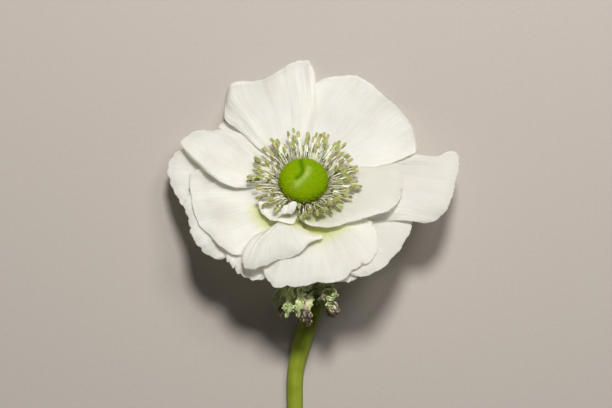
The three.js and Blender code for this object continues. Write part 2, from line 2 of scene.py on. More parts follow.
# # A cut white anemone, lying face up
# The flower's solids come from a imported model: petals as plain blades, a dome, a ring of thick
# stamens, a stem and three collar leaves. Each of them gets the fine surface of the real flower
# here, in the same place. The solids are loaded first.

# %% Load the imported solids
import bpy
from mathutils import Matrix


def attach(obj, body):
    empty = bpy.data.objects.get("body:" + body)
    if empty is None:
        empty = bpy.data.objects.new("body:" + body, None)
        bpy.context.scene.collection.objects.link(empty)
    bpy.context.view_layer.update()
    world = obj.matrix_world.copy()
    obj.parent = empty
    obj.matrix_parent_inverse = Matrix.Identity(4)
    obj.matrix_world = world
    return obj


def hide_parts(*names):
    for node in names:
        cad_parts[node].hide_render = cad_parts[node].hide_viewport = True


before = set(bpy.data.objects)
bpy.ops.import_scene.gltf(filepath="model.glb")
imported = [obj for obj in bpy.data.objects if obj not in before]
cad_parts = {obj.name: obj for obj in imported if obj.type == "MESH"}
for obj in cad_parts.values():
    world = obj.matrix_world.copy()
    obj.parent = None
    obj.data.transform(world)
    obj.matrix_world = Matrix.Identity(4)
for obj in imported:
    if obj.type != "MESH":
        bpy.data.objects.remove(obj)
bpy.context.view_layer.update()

# %% [markdown]
# ## Lengths and the head's own frame
# A flower is measured in millimetres, so every length here is in millimetres, and points turn into
# metres only when a mesh is made. The flower head leans back on its bent stem. Its petals are easier
# to describe round its own axis, so they are laid out in the head's frame and then turned.

# %% Millimetres and the head's frame
import math

import bpy
import numpy as np

MM = 0.001
HEAD = np.array([-2.4, 53.5, 22.5])
LEAN = math.radians(30)
HEAD_AXES = np.array([
    [1, 0, 0],
    [0, math.cos(LEAN), -math.sin(LEAN)],
    [0, math.sin(LEAN), math.cos(LEAN)],
])


def from_head(points):
    """Points across, over and along the head's axis, as points of the whole part."""
    return HEAD + np.asarray(points, float) @ HEAD_AXES


print("flower axis:", from_head([0, 0, 1]) - HEAD)

# %% [markdown]
# ## Camera and light
# The photograph looks straight down with a long lens. The lens follows from the camera's height
# and from how many millimetres one pixel spans at the height of the flower. Its dark, nearly sharp
# shadow falls straight down the picture and a faint second one falls to the left. So a small main
# lamp stands close beyond the flower, a weaker one to its right, and a dim even sky fills the rest.

# %% Camera
scene = bpy.context.scene
CAMERA_PLACE = np.array([-1.7, 48.7, 520.0])
MM_PER_PIXEL = 0.29
PHOTO_WIDTH = 612
SENSOR_WIDTH = 36.0

camera = bpy.data.objects.new("camera", bpy.data.cameras.new("camera"))
camera.location = CAMERA_PLACE * MM
camera.data.sensor_width = SENSOR_WIDTH
camera.data.lens = SENSOR_WIDTH * (CAMERA_PLACE[2] - HEAD[2]) / (MM_PER_PIXEL * PHOTO_WIDTH)
camera.data.clip_start = 0.01
scene.collection.objects.link(camera)
scene.camera = camera
scene.view_settings.view_transform = "Standard"
print("lens:", round(camera.data.lens, 1), "mm")

# %% Lamps and sky
from mathutils import Vector

LAMP_COLOUR = (1.0, 0.99, 0.995)
SKY_COLOUR = (1.0, 0.98, 0.95, 1.0)
SKY_STRENGTH = 0.07


def add_lamp(name, direction, distance, size, energy):
    """A round soft lamp that shines on the flower from a direction."""
    direction = Vector(direction).normalized()
    lamp = bpy.data.objects.new(name, bpy.data.lights.new(name, "AREA"))
    lamp.data.shape = "DISK"
    lamp.data.size = size
    lamp.data.energy = energy
    lamp.data.color = LAMP_COLOUR
    lamp.location = Vector(HEAD * MM) + direction * distance
    lamp.rotation_euler = direction.to_track_quat("Z", "Y").to_euler()
    scene.collection.objects.link(lamp)
    print(name, "at", [round(v, 2) for v in lamp.location], "m")


add_lamp("main_lamp", direction=(0.06, 0.48, 0.88), distance=0.65, size=0.12, energy=5.05)
add_lamp("side_lamp", direction=(0.36, 0.42, 0.84), distance=0.9, size=0.25, energy=2.2)

sky = bpy.data.worlds.new("sky")
sky.use_nodes = True
background = sky.node_tree.nodes["Background"].inputs
background["Color"].default_value = SKY_COLOUR
background["Strength"].default_value = SKY_STRENGTH
scene.world = sky

# %% [markdown]
# ## Writing shader maths as Python
# A finish is a small net of nodes. Written node by node it is hard to read, so a socket is wrapped
# in a class that understands plus, minus and times, and each sum adds its own Math node.
# Every other node comes from one method, which first makes the node's settings and then fills its
# sockets with values or links.

# %% Sockets in sums
class Field:
    """One socket of a finish. Sums of fields and numbers add Math nodes to the finish."""

    def __init__(self, finish, socket):
        self.finish = finish
        self.socket = socket

    def sum(self, operation, first, second):
        return self.finish.node("Math", {"operation": operation}, {0: first, 1: second})

    def __add__(self, other):
        return self.sum("ADD", self, other)

    def __sub__(self, other):
        return self.sum("SUBTRACT", self, other)

    def __rsub__(self, other):
        return self.sum("SUBTRACT", other, self)

    def __mul__(self, other):
        return self.sum("MULTIPLY", self, other)

    __radd__ = __add__
    __rmul__ = __mul__


# %% A finish and its nodes
class Finish:
    """One material. node() adds any node, and the other methods are short names for common ones."""

    def __init__(self, name):
        self.material = bpy.data.materials.new(name)
        self.material.use_nodes = True
        self.tree = self.material.node_tree
        self.tree.nodes.clear()

    def node(self, kind, settings=None, inputs=None, output=0):
        made = self.tree.nodes.new("ShaderNode" + kind)
        for key, value in (settings or {}).items():
            setattr(made, key, value)
        named = {socket.identifier: socket for socket in made.inputs}
        for key, value in (inputs or {}).items():
            socket = made.inputs[key] if isinstance(key, int) else named[key]
            if isinstance(value, Field):
                self.tree.links.new(value.socket, socket)
            else:
                socket.default_value = value
        results = list(made.outputs)
        if not results:
            return None
        named = {socket.identifier: socket for socket in results}
        return Field(self, named[output] if isinstance(output, str) else results[output])

    def stored(self, name):
        """A number that the mesh stores at its points."""
        return self.node("Attribute", {"attribute_name": name}, output="Fac")

    def place(self):
        """The point of the surface itself, in metres."""
        return self.node("TexCoord", output="Object")

    def point(self, x, y, z):
        return self.node("CombineXYZ", inputs={0: x, 1: y, 2: z})

    def noise(self, scale, detail, place=None):
        """Soft noise at the point of the surface itself, or at another place."""
        place = place or self.place()
        return self.node("TexNoise", inputs={"Vector": place, "Scale": scale, "Detail": detail})

    def step(self, value, low, high):
        """From 0 at low to 1 at high, with soft ends."""
        return self.node("MapRange", {"interpolation_type": "SMOOTHSTEP"}, {0: value, 1: low, 2: high})

    def mix(self, share, first, second):
        """From the first colour, where share is 0, to the second, where it is 1."""
        settings = {"data_type": "RGBA", "clamp_factor": True}
        inputs = {"Factor_Float": share, "A_Color": first, "B_Color": second}
        return self.node("Mix", settings, inputs, "Result_Color")

    def bump(self, height, depth, strength):
        """The normal over a height from 0 to 1 that stands for a depth in millimetres."""
        return self.node("Bump", inputs={"Height": height, "Distance": depth * MM, "Strength": strength})

    def done(self, through=None, **inputs):
        """The surface itself: each word names a socket of the Principled shader. through is the share
        of the light that passes into the surface, and its colour."""
        sockets = {key.replace("_", " "): value for key, value in inputs.items()}
        shader = self.node("BsdfPrincipled", inputs=sockets)
        if through is not None:
            share, colour = through
            passing = self.node("BsdfTranslucent", inputs={"Color": colour})
            shader = self.node("MixShader", inputs={0: share, 1: shader, 2: passing})
        self.node("OutputMaterial", inputs={"Surface": shader})
        print("finish", self.material.name, "has", len(self.tree.nodes), "nodes")
        return self.material


def paint(red, green, blue):
    """A colour as seen on a screen, from 0 to 255, in the linear values that a shader takes."""
    share = [value / 255 for value in (red, green, blue)]
    return (*(s / 12.92 if s < 0.04045 else ((s + 0.055) / 1.055) ** 2.4 for s in share), 1.0)


# %% [markdown]
# The floor is a plain pale sheet of paper. A very faint grain keeps it from looking like empty
# space.

# %% Floor
FLOOR_HALF = 900
FLOOR_DROP = 0.05
finish = Finish("pale_paper")
grain = finish.noise(900.0, 3.0)
finish.done(
    Base_Color=finish.mix(grain, paint(166, 158, 149), paint(173, 165, 156)),
    Roughness=0.9,
    Normal=finish.bump(grain, 0.04, 0.3),
)
corners = [(-1, -1), (1, -1), (1, 1), (-1, 1)]
floor_mesh = bpy.data.meshes.new("floor")
floor_mesh.from_pydata(
    [(x * FLOOR_HALF * MM, y * FLOOR_HALF * MM, -FLOOR_DROP * MM) for x, y in corners], [], [(0, 1, 2, 3)])
floor_mesh.materials.append(finish.material)
floor = bpy.data.objects.new("floor", floor_mesh)
scene.collection.objects.link(floor)

# %% [markdown]
# ## Gathering a mesh
# Every piece of the flower is made of sheets and tubes of points in rows. A small class gathers
# them, joins neighbouring points with faces, and keeps extra numbers for the finish at each point,
# such as how far along the petal it lies. That is less work than editing meshes step by step.

# %% Sheets and tubes of points
class Shape:
    """Sheets and tubes that become one mesh, with numbers stored at their points."""

    def __init__(self):
        self.points = []
        self.faces = []
        self.numbers = {}
        self.count = 0

    def add(self, grid, tube=False, **numbers):
        """A sheet of rows of points. Its front is on the side of row direction times column direction."""
        rows, columns = grid.shape[:2]
        ids = self.count + np.arange(rows * columns).reshape(rows, columns)
        if tube:
            self.faces.append(ids[0].tolist())
            self.faces.append(ids[-1, ::-1].tolist())
            ids = np.hstack([ids, ids[:, :1]])
        quads = np.stack([ids[:-1, :-1], ids[1:, :-1], ids[1:, 1:], ids[:-1, 1:]], -1)
        self.faces.extend(quads.reshape(-1, 4).tolist())
        self.points.append(grid.reshape(-1, 3))
        for key, value in numbers.items():
            spread = np.broadcast_to(np.asarray(value, float), (rows, columns))
            self.numbers.setdefault(key, []).append(spread.ravel())
        self.count += rows * columns

    def build(self, name, finishes, nodes, slot):
        """The finished object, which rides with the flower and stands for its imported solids."""
        mesh = bpy.data.meshes.new(name)
        mesh.from_pydata((np.vstack(self.points) * MM).tolist(), [], self.faces)
        for key, values in self.numbers.items():
            stored = mesh.attributes.new(key, "FLOAT", "POINT")
            stored.data.foreach_set("value", np.concatenate(values).astype(np.float32))
        mesh.shade_smooth()
        for material in finishes:
            mesh.materials.append(material)
        piece = bpy.data.objects.new(name, mesh)
        scene.collection.objects.link(piece)
        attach(piece, "root")
        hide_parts(*nodes)
        print(name, "has", len(mesh.polygons), "faces")
        return piece


def thicken(piece, thickness, weights=None, least=1.0):
    """Turns a sheet into a closed blade below it. Where the weights are 0, it is only as thick as
    the share least says."""
    solidify = piece.modifiers.new("thickness", "SOLIDIFY")
    solidify.thickness = thickness * MM
    solidify.offset = -1
    solidify.material_offset = len(piece.data.materials) - 1
    if weights is not None:
        group = piece.vertex_groups.new(name="thickness")
        levels = np.round(weights, 2)
        for level in np.unique(levels):
            group.add(np.flatnonzero(levels == level).tolist(), float(level), "REPLACE")
        solidify.vertex_group = group.name
        solidify.thickness_vertex_group = least


# %% Smooth lines
def curve_at(points, k, evenness=0.5):
    """Places on the smooth curve through the points. k counts the points and may lie between them."""
    p = np.asarray(points, float)
    p = np.vstack([2 * p[:1] - p[1:2], p, 2 * p[-1:] - p[-2:-1]])
    k = np.asarray(k, float)
    i = np.clip(np.floor(k).astype(int), 0, len(p) - 4)
    f = (k - i)[..., None]
    a, b, c, d = (p[i + n] for n in range(4))
    gaps = np.linalg.norm(np.diff(p, axis=0), axis=1) ** evenness
    u, v, w = (gaps[i + n][..., None] for n in range(3))
    leave = ((b - a) / u - (c - a) / (u + v) + (c - b) / v) * v
    arrive = ((c - b) / v - (d - b) / (v + w) + (d - c) / w) * v
    return b + leave * f + (3 * (c - b) - 2 * leave - arrive) * f**2 + (2 * (b - c) + leave + arrive) * f**3


def unit(vectors):
    return vectors / np.linalg.norm(vectors, axis=-1, keepdims=True)


def smooth(values, low, high):
    """From 0 at low to 1 at high, with soft ends."""
    share = np.clip((np.asarray(values, float) - low) / (high - low), 0, 1)
    return share * share * (3 - 2 * share)


def hump(distance, width):
    """1 at no distance, and close to 0 from twice the width on."""
    return np.exp(-((distance / width) ** 2))


def shares_of(rows, columns):
    """How far along and how far across a sheet its points lie, from 0 to 1."""
    return np.linspace(0, 1, rows)[:, None], np.linspace(0, 1, columns)[None]


def more_rows(sheet, count):
    """The sheet with that many rows, blended straight between its own."""
    k = np.linspace(0, len(sheet) - 1, count)
    i = np.minimum(k.astype(int), len(sheet) - 2)
    f = (k - i)[:, None, None]
    return sheet[i] * (1 - f) + sheet[i + 1] * f


def tube_rings(middles, radii, sides, across=None, flat=1.0):
    """Rings of points round a line. flat is the tube's height over its width."""
    along = unit(np.gradient(middles, axis=0))
    across = np.array([0.0, 0.0, 1.0]) if across is None else across
    right = unit(np.cross(along, across))
    over = np.cross(right, along)
    turn = -np.linspace(0, 2 * math.pi, sides, endpoint=False)
    radii = np.asarray(radii, float).reshape(-1, 1, 1)
    ring = right[:, None] * np.cos(turn)[:, None] + over[:, None] * np.sin(turn)[:, None] * flat
    return middles[:, None] + ring * radii


print("one ring of a tube has", tube_rings(np.eye(3), [1, 1, 1], 12).shape[1], "points")

# %% [markdown]
# ## Petals
# The real petals are thin blades that grow from one receptacle in layers, each with its own
# outline. They could be sculpted or simulated as cloth, but then they wouldn't lie where the solids
# are. So each petal keeps the solids' own description: the direction and half the spread of its
# root, its layer, how far its middle is raised, and its rim, traced from the photograph as
# directions, reaches and heights, with the count of rim points along each side. Two roots reach a
# little further than the solids', to close a gap by the stamens, and two rims, to follow the
# photograph. All other values are new.

# %% The petals' description
ROOT_REACH = 4.6
ROOT_SUNK = 0.7
LAYER_LOW = -5.2
LAYER_STEP = 1.2
BOWL_RISE = 6.0
BOWL_REACH = 7.0
RIM_CURVE = 2.5
SOLID_THICKNESS = 0.8
PETAL_CLEAR = 0.5


# What most petals have. Settled says between which reaches a petal's sides stop sinking onto the
# petals below. A fold has a place, a width and a depth. Lift has a height, then the directions,
# counted from the root's, and the reaches between which it grows to that height.
# Tone dulls a petal's white toward a greyer white. It is painted shade, for the dimmer petals on the right
# and at the bottom.
PLAIN = dict(pleat=0.05, green=0.3, green_reach=16, green_shade_turn=(-2, -1), tone=0.0, folds=(),
             scallops=(1, 0.0), nicks=(), settled=(15, 23), rim_settled=0.0, lift=(0.0, (0, 1), (0, 1)))
PETALS = [
    dict(name="petal_rear_top_left", root=138, spread=11, layer=0, crown=0.3, sides=(3, 3),
         pleat=0.04,
         rim=[(130, 12, -1), (126, 22, -2.4), (125, 30.5, -3.6), (128, 34, -4.6), (131.5, 35.4, -5.1),
              (135, 35.6, -5.2), (138, 34.7, -5.2), (141, 30.5, -4.4), (143, 24, -2.8), (143, 12, -1)]),
    dict(name="petal_far_left", root=171, spread=14, layer=0, crown=0.6, sides=(3, 3),
         scallops=(7, 0.25), nicks=(0.8,),
         rim=[(158, 12, 0), (150, 24, -2), (152, 36, -4.5), (158, 41, -5), (165, 41.8, -5.4),
              (172, 39.8, -5.6), (179, 37.3, -5.8), (186, 34.4, -6), (190, 26, -4.5), (186, 13, -1)]),
    dict(name="petal_rear_left", root=204, spread=15, layer=0, crown=0.5, sides=(3, 3),
         scallops=(9, 0.4),
         rim=[(191, 12, -1), (181, 24, -2.4), (181, 33.2, -3), (186, 35, -4), (193, 34.4, -4.8),
              (200, 34.9, -5), (206, 34.8, -5.2), (213, 33.9, -5.2), (221, 31.3, -5),
              (224, 24, -3.4), (218, 13, -1)]),
    dict(name="petal_rear_lower_left", root=237, spread=13, layer=0, crown=0.4, sides=(3, 3),
         scallops=(6, 0.4), nicks=(0.3,),
         rim=[(226, 12, -1.5), (221, 25, -2.4), (223, 30.3, -3), (230, 31.5, -3.8), (236, 31.8, -4.4),
              (243, 30.7, -4.6), (250, 28.9, -4.6), (252, 23, -3.8), (248, 12, -1)]),
    dict(name="petal_rear_bottom", root=287, spread=10, layer=0, crown=0.4, sides=(2, 3),
         nicks=(0.75,),
         rim=[(279, 12, -1.5), (277, 22, -3.2), (284, 27.5, -3.8), (292, 30.8, -4), (299, 31.5, -3.8),
              (306, 29, -3), (304, 20, -2), (296, 12, -1)]),
    dict(name="petal_lower_right", root=316, spread=16, layer=0, crown=0.8, sides=(3, 3),
         green_reach=18, green=0.4, tone=0.75,
         rim=[(302, 12, -1), (292, 23, -1.6), (296, 30, -1.4), (302, 33, -1.2), (309, 34.3, -0.8),
              (317.5, 34, -0.8), (325.5, 33.7, -0.9), (332.5, 33.5, -1.1), (339.5, 33.3, -1.4),
              (345, 31.6, -1.7), (347, 24, -1.4), (336, 12, 0)]),
    dict(name="petal_right", root=356, spread=18, layer=0, crown=1.2, sides=(4, 5),
         pleat=0.08, green_reach=17, green=0.4, tone=0.65, settled=(26, 33),
         rim=[(340, 12, 0), (330, 20, 1.2), (338, 28.4, 1.4), (342, 36.7, 0), (347, 40.4, -0.6),
              (353, 42.6, -0.4), (3, 44.4, 0), (12, 46.7, 0.4), (16, 45.2, 0.2), (16, 40.2, -0.6),
              (22, 34, -1.8), (30, 24, -1.8), (22, 12, -1)]),
    dict(name="petal_top_right", root=54, spread=26, layer=0, crown=1, sides=(5, 4),
         pleat=0.06, green=0.4, settled=(32, 40),
         rim=[(30, 12, 0), (19, 19, 1.2), (17, 27.6, 1.4), (20, 33.5, 0.6), (22, 36, -0.6),
              (29, 37.9, -2), (39, 40.3, -3.6), (51, 42.6, -4.8), (60, 43.2, -4.4), (67, 43.6, -3.4),
              (74, 42, -2.4), (84, 38.5, -2.2), (92, 30, -2.2), (92, 20, -1.8), (88, 12, -1.5)]),
    dict(name="petal_bottom", root=282, spread=22, layer=1, crown=1, sides=(3, 3),
         green_reach=22, green=0.95, tone=0.35, scallops=(6, 0.6), nicks=(0.71,), settled=(25, 33),
         rim=[(262, 12, -1), (246, 22, -1.6), (245, 27.4, -2), (251, 30.9, -2), (256, 32.5, -1.9),
              (263, 31.3, -1.7), (273, 30.7, -1.6), (288, 31.3, -1), (299, 30.6, -0.2),
              (309, 31, 0.4), (317, 29, 1), (325, 25.6, 1.6), (328, 20, 1.4), (314, 12, 0)]),
    dict(name="petal_lower_left", root=208, spread=28, layer=1, crown=1.2, sides=(3, 4),
         green_reach=20.5, green=0.9, green_shade_turn=(196, 214), rim_settled=1.0,
         lift=(1.0, (-10, 6), (22, 30)),
         rim=[(174, 12, -0.6), (165, 21.8, -1.4), (165, 30.5, -1.8), (169, 33.9, -2),
              (176, 33.4, -2), (186, 32.6, -2), (197, 32.1, -2.2), (208, 30.7, -2.4),
              (219, 29.9, -2.4), (229, 28.5, -2), (237, 24, -1.4), (243, 18, -0.8), (241, 12, -0.5)]),
    dict(name="petal_upper_left", root=158, spread=18, layer=1, crown=1.2, sides=(3, 7),
         pleat=0.04, green=0.4, lift=(1.1, (0, 20), (14, 24)),
         rim=[(142, 11, 0), (133, 20, -0.6), (135, 28, -1.4), (141, 34.2, -2.4), (145, 38, -2.6),
              (150, 40, -2.4), (155, 40.1, -1.8), (160, 36.8, -1.2), (167, 31, -0.2), (174.5, 27, 0.8),
              (181.5, 23, 1.6), (185, 18.7, 2.2), (185, 14.4, 2.2), (177, 10, 1.2)]),
    dict(name="petal_top_left", root=111, spread=28, layer=1, crown=0.8, sides=(4, 6),
         pleat=0.1, settled=(24, 32), folds=((0.17, 0.025, 0.25), (0.37, 0.03, 0.45)),
         rim=[(86, 12, 0), (81, 23.6, 1.2), (84, 35.7, 0.4), (87, 43.3, 0.3), (90, 44.6, 0.3),
              (97, 43.4, -0.8), (107, 41.4, -2.4), (117, 43.5, -3.6), (122, 43.5, -3.8),
              (127, 39.4, -3), (133, 34.5, -1.6), (134, 29.9, -0.6), (135, 24.3, 0.6),
              (137, 17.9, 1.6), (130, 11, 1)]),
    dict(name="petal_front", root=251, spread=17, layer=2, crown=1, sides=(5, 3),
         pleat=0.09, green_reach=17, green=0.9, tone=0.35, nicks=(0.1,),
         lift=(1.4, (-3, -15), (20, 27)), folds=((0.14, 0.05, 0.3), (0.3, 0.05, 0.6)),
         rim=[(240, 11.5, 1.8), (235, 17, 2.8), (231, 21.5, 2.2), (231, 25.7, 1), (233, 29.1, -0.2),
              (238, 31.2, -0.8), (242, 30, -0.6), (247, 27.7, 0), (254, 24.8, 0.8), (265, 23.2, 1.8),
              (274, 20.3, 2.6), (288, 18.3, 3.4), (276, 15.5, 3.2), (264, 11.5, 2)]),
    dict(name="petal_inner_right", root=318, spread=34, layer=2, crown=0.2, sides=(1, 3),
         green=0.5, tone=0.85, nicks=(0.85,),
         rim=[(264, 11.8, 3.4), (274, 14.2, 4.4), (283, 15.6, 4.8), (292, 16.9, 4.8), (303, 18.2, 4.8),
              (313, 19.4, 4.7), (323, 21.4, 4.6), (331.5, 24.1, 4.6), (338, 26.4, 4.5), (345, 28, 4.2),
              (353, 28.5, 3.4), (364, 28.9, 2.8), (371, 28, 2.6), (376, 21.6, 3), (380, 15, 2.6)]),
    dict(name="petal_inner_lip", root=232, spread=20, layer=3, crown=0.2, sides=(1, 1),
         pleat=0.03, green_reach=13, green=0.4,
         rim=[(202, 12, 3.4), (208, 14.9, 4), (223, 15.8, 4.4), (236, 15.8, 4.7), (248, 15.2, 4.8),
              (260, 14, 4.2)]),
]
PETALS = [PLAIN | petal for petal in PETALS]
print(len(PETALS), "petals")

# %% [markdown]
# A petal's sheet is blended from its four sides. Its height follows a bowl that all petals share
# near their roots, and then moves to the height of its own rim. The solids' sheets are blended in
# the same way, only with far fewer points.

# %% The sheet of one petal
def polar(turn, reach, height):
    angle = np.radians(turn)
    return np.stack(np.broadcast_arrays(reach * np.cos(angle), reach * np.sin(angle), height), -1)


def reach_of(points):
    return np.hypot(points[..., 0], points[..., 1])


def turn_of(points):
    return np.degrees(np.arctan2(points[..., 1], points[..., 0])) % 360


def bowl(reach):
    return BOWL_RISE * (1 - np.exp((ROOT_REACH - reach) / BOWL_REACH))


def surface_under(y):
    """The surface that the flower lies on, as a height in the head's frame."""
    return (y * math.sin(LEAN) - HEAD[2]) / math.cos(LEAN)


def petal_sheet(petal, rows, columns):
    """A petal's upper face, in rows from its root to its rim."""
    s, t = shares_of(rows + 1, columns + 1)
    root_height = LAYER_LOW + petal["layer"] * LAYER_STEP

    def root_point(t):
        turn = petal["root"] + petal["spread"] * (2 * t - 1)
        return polar(turn, ROOT_REACH, root_height)

    border = np.vstack([root_point(0.0), [polar(*point) for point in petal["rim"]], root_point(1.0)])
    last = len(border) - 1
    left_count, right_count = petal["sides"]

    def border_at(k):
        place = curve_at(border, k, evenness=0)
        place[..., 2] -= root_height + bowl(reach_of(place))
        return place

    left = border_at(s * left_count)
    right = border_at(last - s * right_count)
    outer = border_at(left_count + t * (last - right_count - left_count))
    inner = root_point(t) * [1, 1, 0]
    share = np.stack([s, s, s**RIM_CURVE], -1)
    bulges = [side - side[:1] * (1 - share) - side[-1:] * share for side in (left, right)]
    t = t[..., None]
    sheet = inner * (1 - share) + outer * share + bulges[0] * (1 - t) + bulges[1] * t
    raised = petal["crown"] * (1 - (2 * t[..., 0] - 1) ** 2) * np.sin(math.pi * s)
    sheet[..., 2] += root_height + bowl(reach_of(sheet)) + raised
    sheet[..., 2] = np.maximum(sheet[..., 2], surface_under(sheet[..., 1]) + SOLID_THICKNESS)
    return sheet


# %% [markdown]
# Petals that cross in the open sheet have to lie over each other. A relief of the highest petal
# laid so far is kept in cells round the axis, and each next petal is raised softly where it would
# touch. Cloth simulation could do this too, but it would take minutes and move the outlines.

# %% Laying petals over each other
TURN_CELLS = 180
REACH_CELLS = 112
REACH_CELL = 0.5
RELIEF_FINER = 4
LIFT_SPREAD = (5, 9)
LIFT_SOFTENED = (2, 4)
NOTHING = -99.0


def cells_of(points):
    return turn_of(points) * (TURN_CELLS / 360), reach_of(points) / REACH_CELL


def relief_of(sheet):
    """The highest point of a sheet in each cell, from points between its own."""
    for _ in ("rows", "columns"):
        sheet = more_rows(sheet, (len(sheet) - 1) * RELIEF_FINER + 1).swapaxes(0, 1)
    turn, reach = cells_of(sheet)
    relief = np.full((TURN_CELLS, REACH_CELLS), NOTHING)
    where = (turn.astype(int).ravel() % TURN_CELLS, reach.astype(int).ravel())
    np.maximum.at(relief, where, sheet[..., 2].ravel())
    return relief


def gather(relief, turns, reaches, highest):
    """Each cell joined with its neighbours: their highest value, or their weighed mean."""
    for axis, radius in ((0, turns), (1, reaches)):
        offsets = np.arange(-radius, radius + 1)
        if axis == 0:
            near = np.array([np.roll(relief, k, 0) for k in offsets])
        else:
            near = np.array([relief[:, np.clip(np.arange(REACH_CELLS) + k, 0, REACH_CELLS - 1)]
                             for k in offsets])
        weights = (radius + 1 - abs(offsets)) / (radius + 1) ** 2
        relief = near.max(0) if highest else np.tensordot(weights, near, 1)
    return relief


def read_relief(relief, points):
    """The relief at any points, blended between the middles of the cells."""
    turn, reach = cells_of(points)
    reach = np.clip(reach - 0.5, 0, REACH_CELLS - 2)
    t, r = np.floor(turn - 0.5).astype(int), reach.astype(int)
    u, v = turn - 0.5 - t, reach - r
    low, high = (relief[t % TURN_CELLS, near] * (1 - u) + relief[(t + 1) % TURN_CELLS, near] * u
                 for near in (r, r + 1))
    return low * (1 - v) + high * v


def lay(sheet, laid):
    """Raises a sheet off what is laid, adds it to that, and returns how far it was raised."""
    own = relief_of(sheet)
    both = (own > NOTHING) & (laid > NOTHING)
    short = np.where(both, np.maximum(0, laid + PETAL_CLEAR - own), 0)
    lift = gather(gather(short, *LIFT_SPREAD, True), *LIFT_SOFTENED, False)
    sheet[..., 2] += read_relief(lift, sheet)
    np.maximum(laid, relief_of(sheet), out=laid)
    return lift.max()


# %% [markdown]
# A real petal isn't a smooth sheet. It sags in broad soft waves, has faint pleats that run from its
# base, and an edge that rolls down a little and is never quite even. Here and there the edge is
# nicked and brown, and some edges are scalloped. The waves are sums of sines with drawn phases, so
# that each petal has its own, and every run the same.

# %% Waves, pleats and nicks
PETAL_ROWS = 72
PETAL_COLUMNS = 110
PETAL_THICKNESS = 0.32
RIM_THICKNESS = 0.5
BROAD_WAVE = 0.5
RIM_WAVE = 0.24
RIM_ROLL = 0.4
SIDE_ROLL = 0.3
UNDER_SPREAD = (2, 2)
MOST_SETTLED = 3
LOWEST_PETAL = -12
FLOOR_CLEAR = 0.5
EDGE_UNEVEN = 0.13
EDGE_STEPS = 7
SIDE_STEPS = 6
NICK_DEPTH = 0.4
NICK_WIDTH = 0.009
NICK_BROWN = 0.8
SEED = 11


def waves(draw, place, counts, drift=0.0):
    """A sum of waves, one for each count, with drawn phases and heights that fall with the count."""
    total = 0.0
    for k, (low, high) in enumerate(counts):
        count, phase, sway = draw.uniform(low, high), draw.uniform(0, 2 * math.pi), draw.uniform(-1, 1)
        total = total + np.sin(2 * math.pi * count * place + phase + sway * drift) / (k + 1)
    return total


def petal_relief(sheet, petal, draw):
    """Adds the fine forms of one petal to its sheet, and returns how brown its edge is."""
    s, t = shares_of(*sheet.shape[:2])
    broad = waves(draw, t + 0.3 * s, [(0.9, 1.6), (2.0, 3.2)])
    pleats = waves(draw, t, [(4, 6), (8, 12), (16, 22)], drift=1.5 * s)
    rim = waves(draw, t, [(1.5, 2.5), (3.5, 5.5)])
    sheet[..., 2] += BROAD_WAVE * broad * smooth(s, 0.15, 0.6)
    sheet[..., 2] += petal["pleat"] * pleats * smooth(s, 0.15, 0.6) * (1 - 0.5 * smooth(s, 0.8, 1))
    sheet[..., 2] += RIM_WAVE * rim * smooth(s, 0.65, 1.0)
    for place, width, depth in petal["folds"]:
        sheet[..., 2] -= depth * hump(t - place, width) * smooth(s, 0.3, 0.7)

    uneven = EDGE_UNEVEN * waves(draw, t, [(4, 7), (10, 14), (22, 30)])
    count, depth = petal["scallops"]
    uneven = uneven - depth * (1 - abs(np.sin(math.pi * count * t + 0.4))) ** 2
    nicks = np.zeros_like(t)
    for place in petal["nicks"]:
        nicks = nicks + hump(t - place, NICK_WIDTH)
    outward = unit(sheet[-1] - sheet[-1 - EDGE_STEPS])
    push = (uneven - NICK_DEPTH * nicks) * smooth(s, 0.9, 1.0)
    sheet += outward[None] * push[..., None]
    for edge, inner in ((0, SIDE_STEPS), (-1, -1 - SIDE_STEPS)):
        aside = unit(sheet[:, edge] - sheet[:, inner])
        push = EDGE_UNEVEN * waves(draw, s, [(2, 4), (6, 9)]) * smooth(s, 0.2, 0.5)
        near = smooth(abs(2 * t - 1), 0.85, 1.0) * (t < 0.5 if edge == 0 else t > 0.5)
        sheet += aside[:, None] * (push * near)[..., None]
    return np.clip(nicks, 0, 1) * smooth(s, 0.94, 1.0)


def petal_green_and_shade(petal, sheet):
    """How green a petal is: most at its base. Below the lip and petal_inner_right it reaches further
    out as painted yellow-green shade, and on one petal only from one direction on, where that
    shade lies.
    """
    fade = smooth(reach_of(sheet), 0.7 * petal["green_reach"], petal["green_reach"])
    return petal["green"] * (1 - fade) * smooth(turn_of(sheet), *petal["green_shade_turn"])


def lift_side(petal, sheet):
    """Lifts one side of a petal off the petals below it, where the photograph shows its shadow."""
    height, turn_range, reach_range = petal["lift"]
    from_middle = (turn_of(sheet) - petal["root"] + 180) % 360 - 180
    sheet[..., 2] += height * smooth(from_middle, *turn_range) * smooth(reach_of(sheet), *reach_range)


def settle_sides(petal, sheet, below):
    """Lets a petal's sides sink onto the petals below them, close to the stamens or further out."""
    s, t = shares_of(*sheet.shape[:2])
    under = read_relief(gather(below, *UNDER_SPREAD, True), sheet)
    air = np.where(under > LOWEST_PETAL, sheet[..., 2] - under - PETAL_CLEAR, 0)
    near = smooth(abs(2 * t - 1), 0.6, 1.0) * (1 - smooth(reach_of(sheet), *petal["settled"]))
    near = np.maximum(near, petal["rim_settled"] * smooth(s, 0.6, 0.95))
    sheet[..., 2] -= np.clip(air, 0, MOST_SETTLED) * near


def roll_edges(sheet):
    """Rolls a petal's rim and sides down toward what they lie on, but not into the surface."""
    s, t = shares_of(*sheet.shape[:2])
    sheet[..., 2] -= RIM_ROLL * smooth(s, 0.88, 1.0) ** 2
    sheet[..., 2] -= SIDE_ROLL * smooth(abs(2 * t - 1), 0.86, 1.0) ** 2 * smooth(s, 0.1, 0.4)
    sheet[..., 2] = np.maximum(sheet[..., 2], surface_under(sheet[..., 1]) + FLOOR_CLEAR)
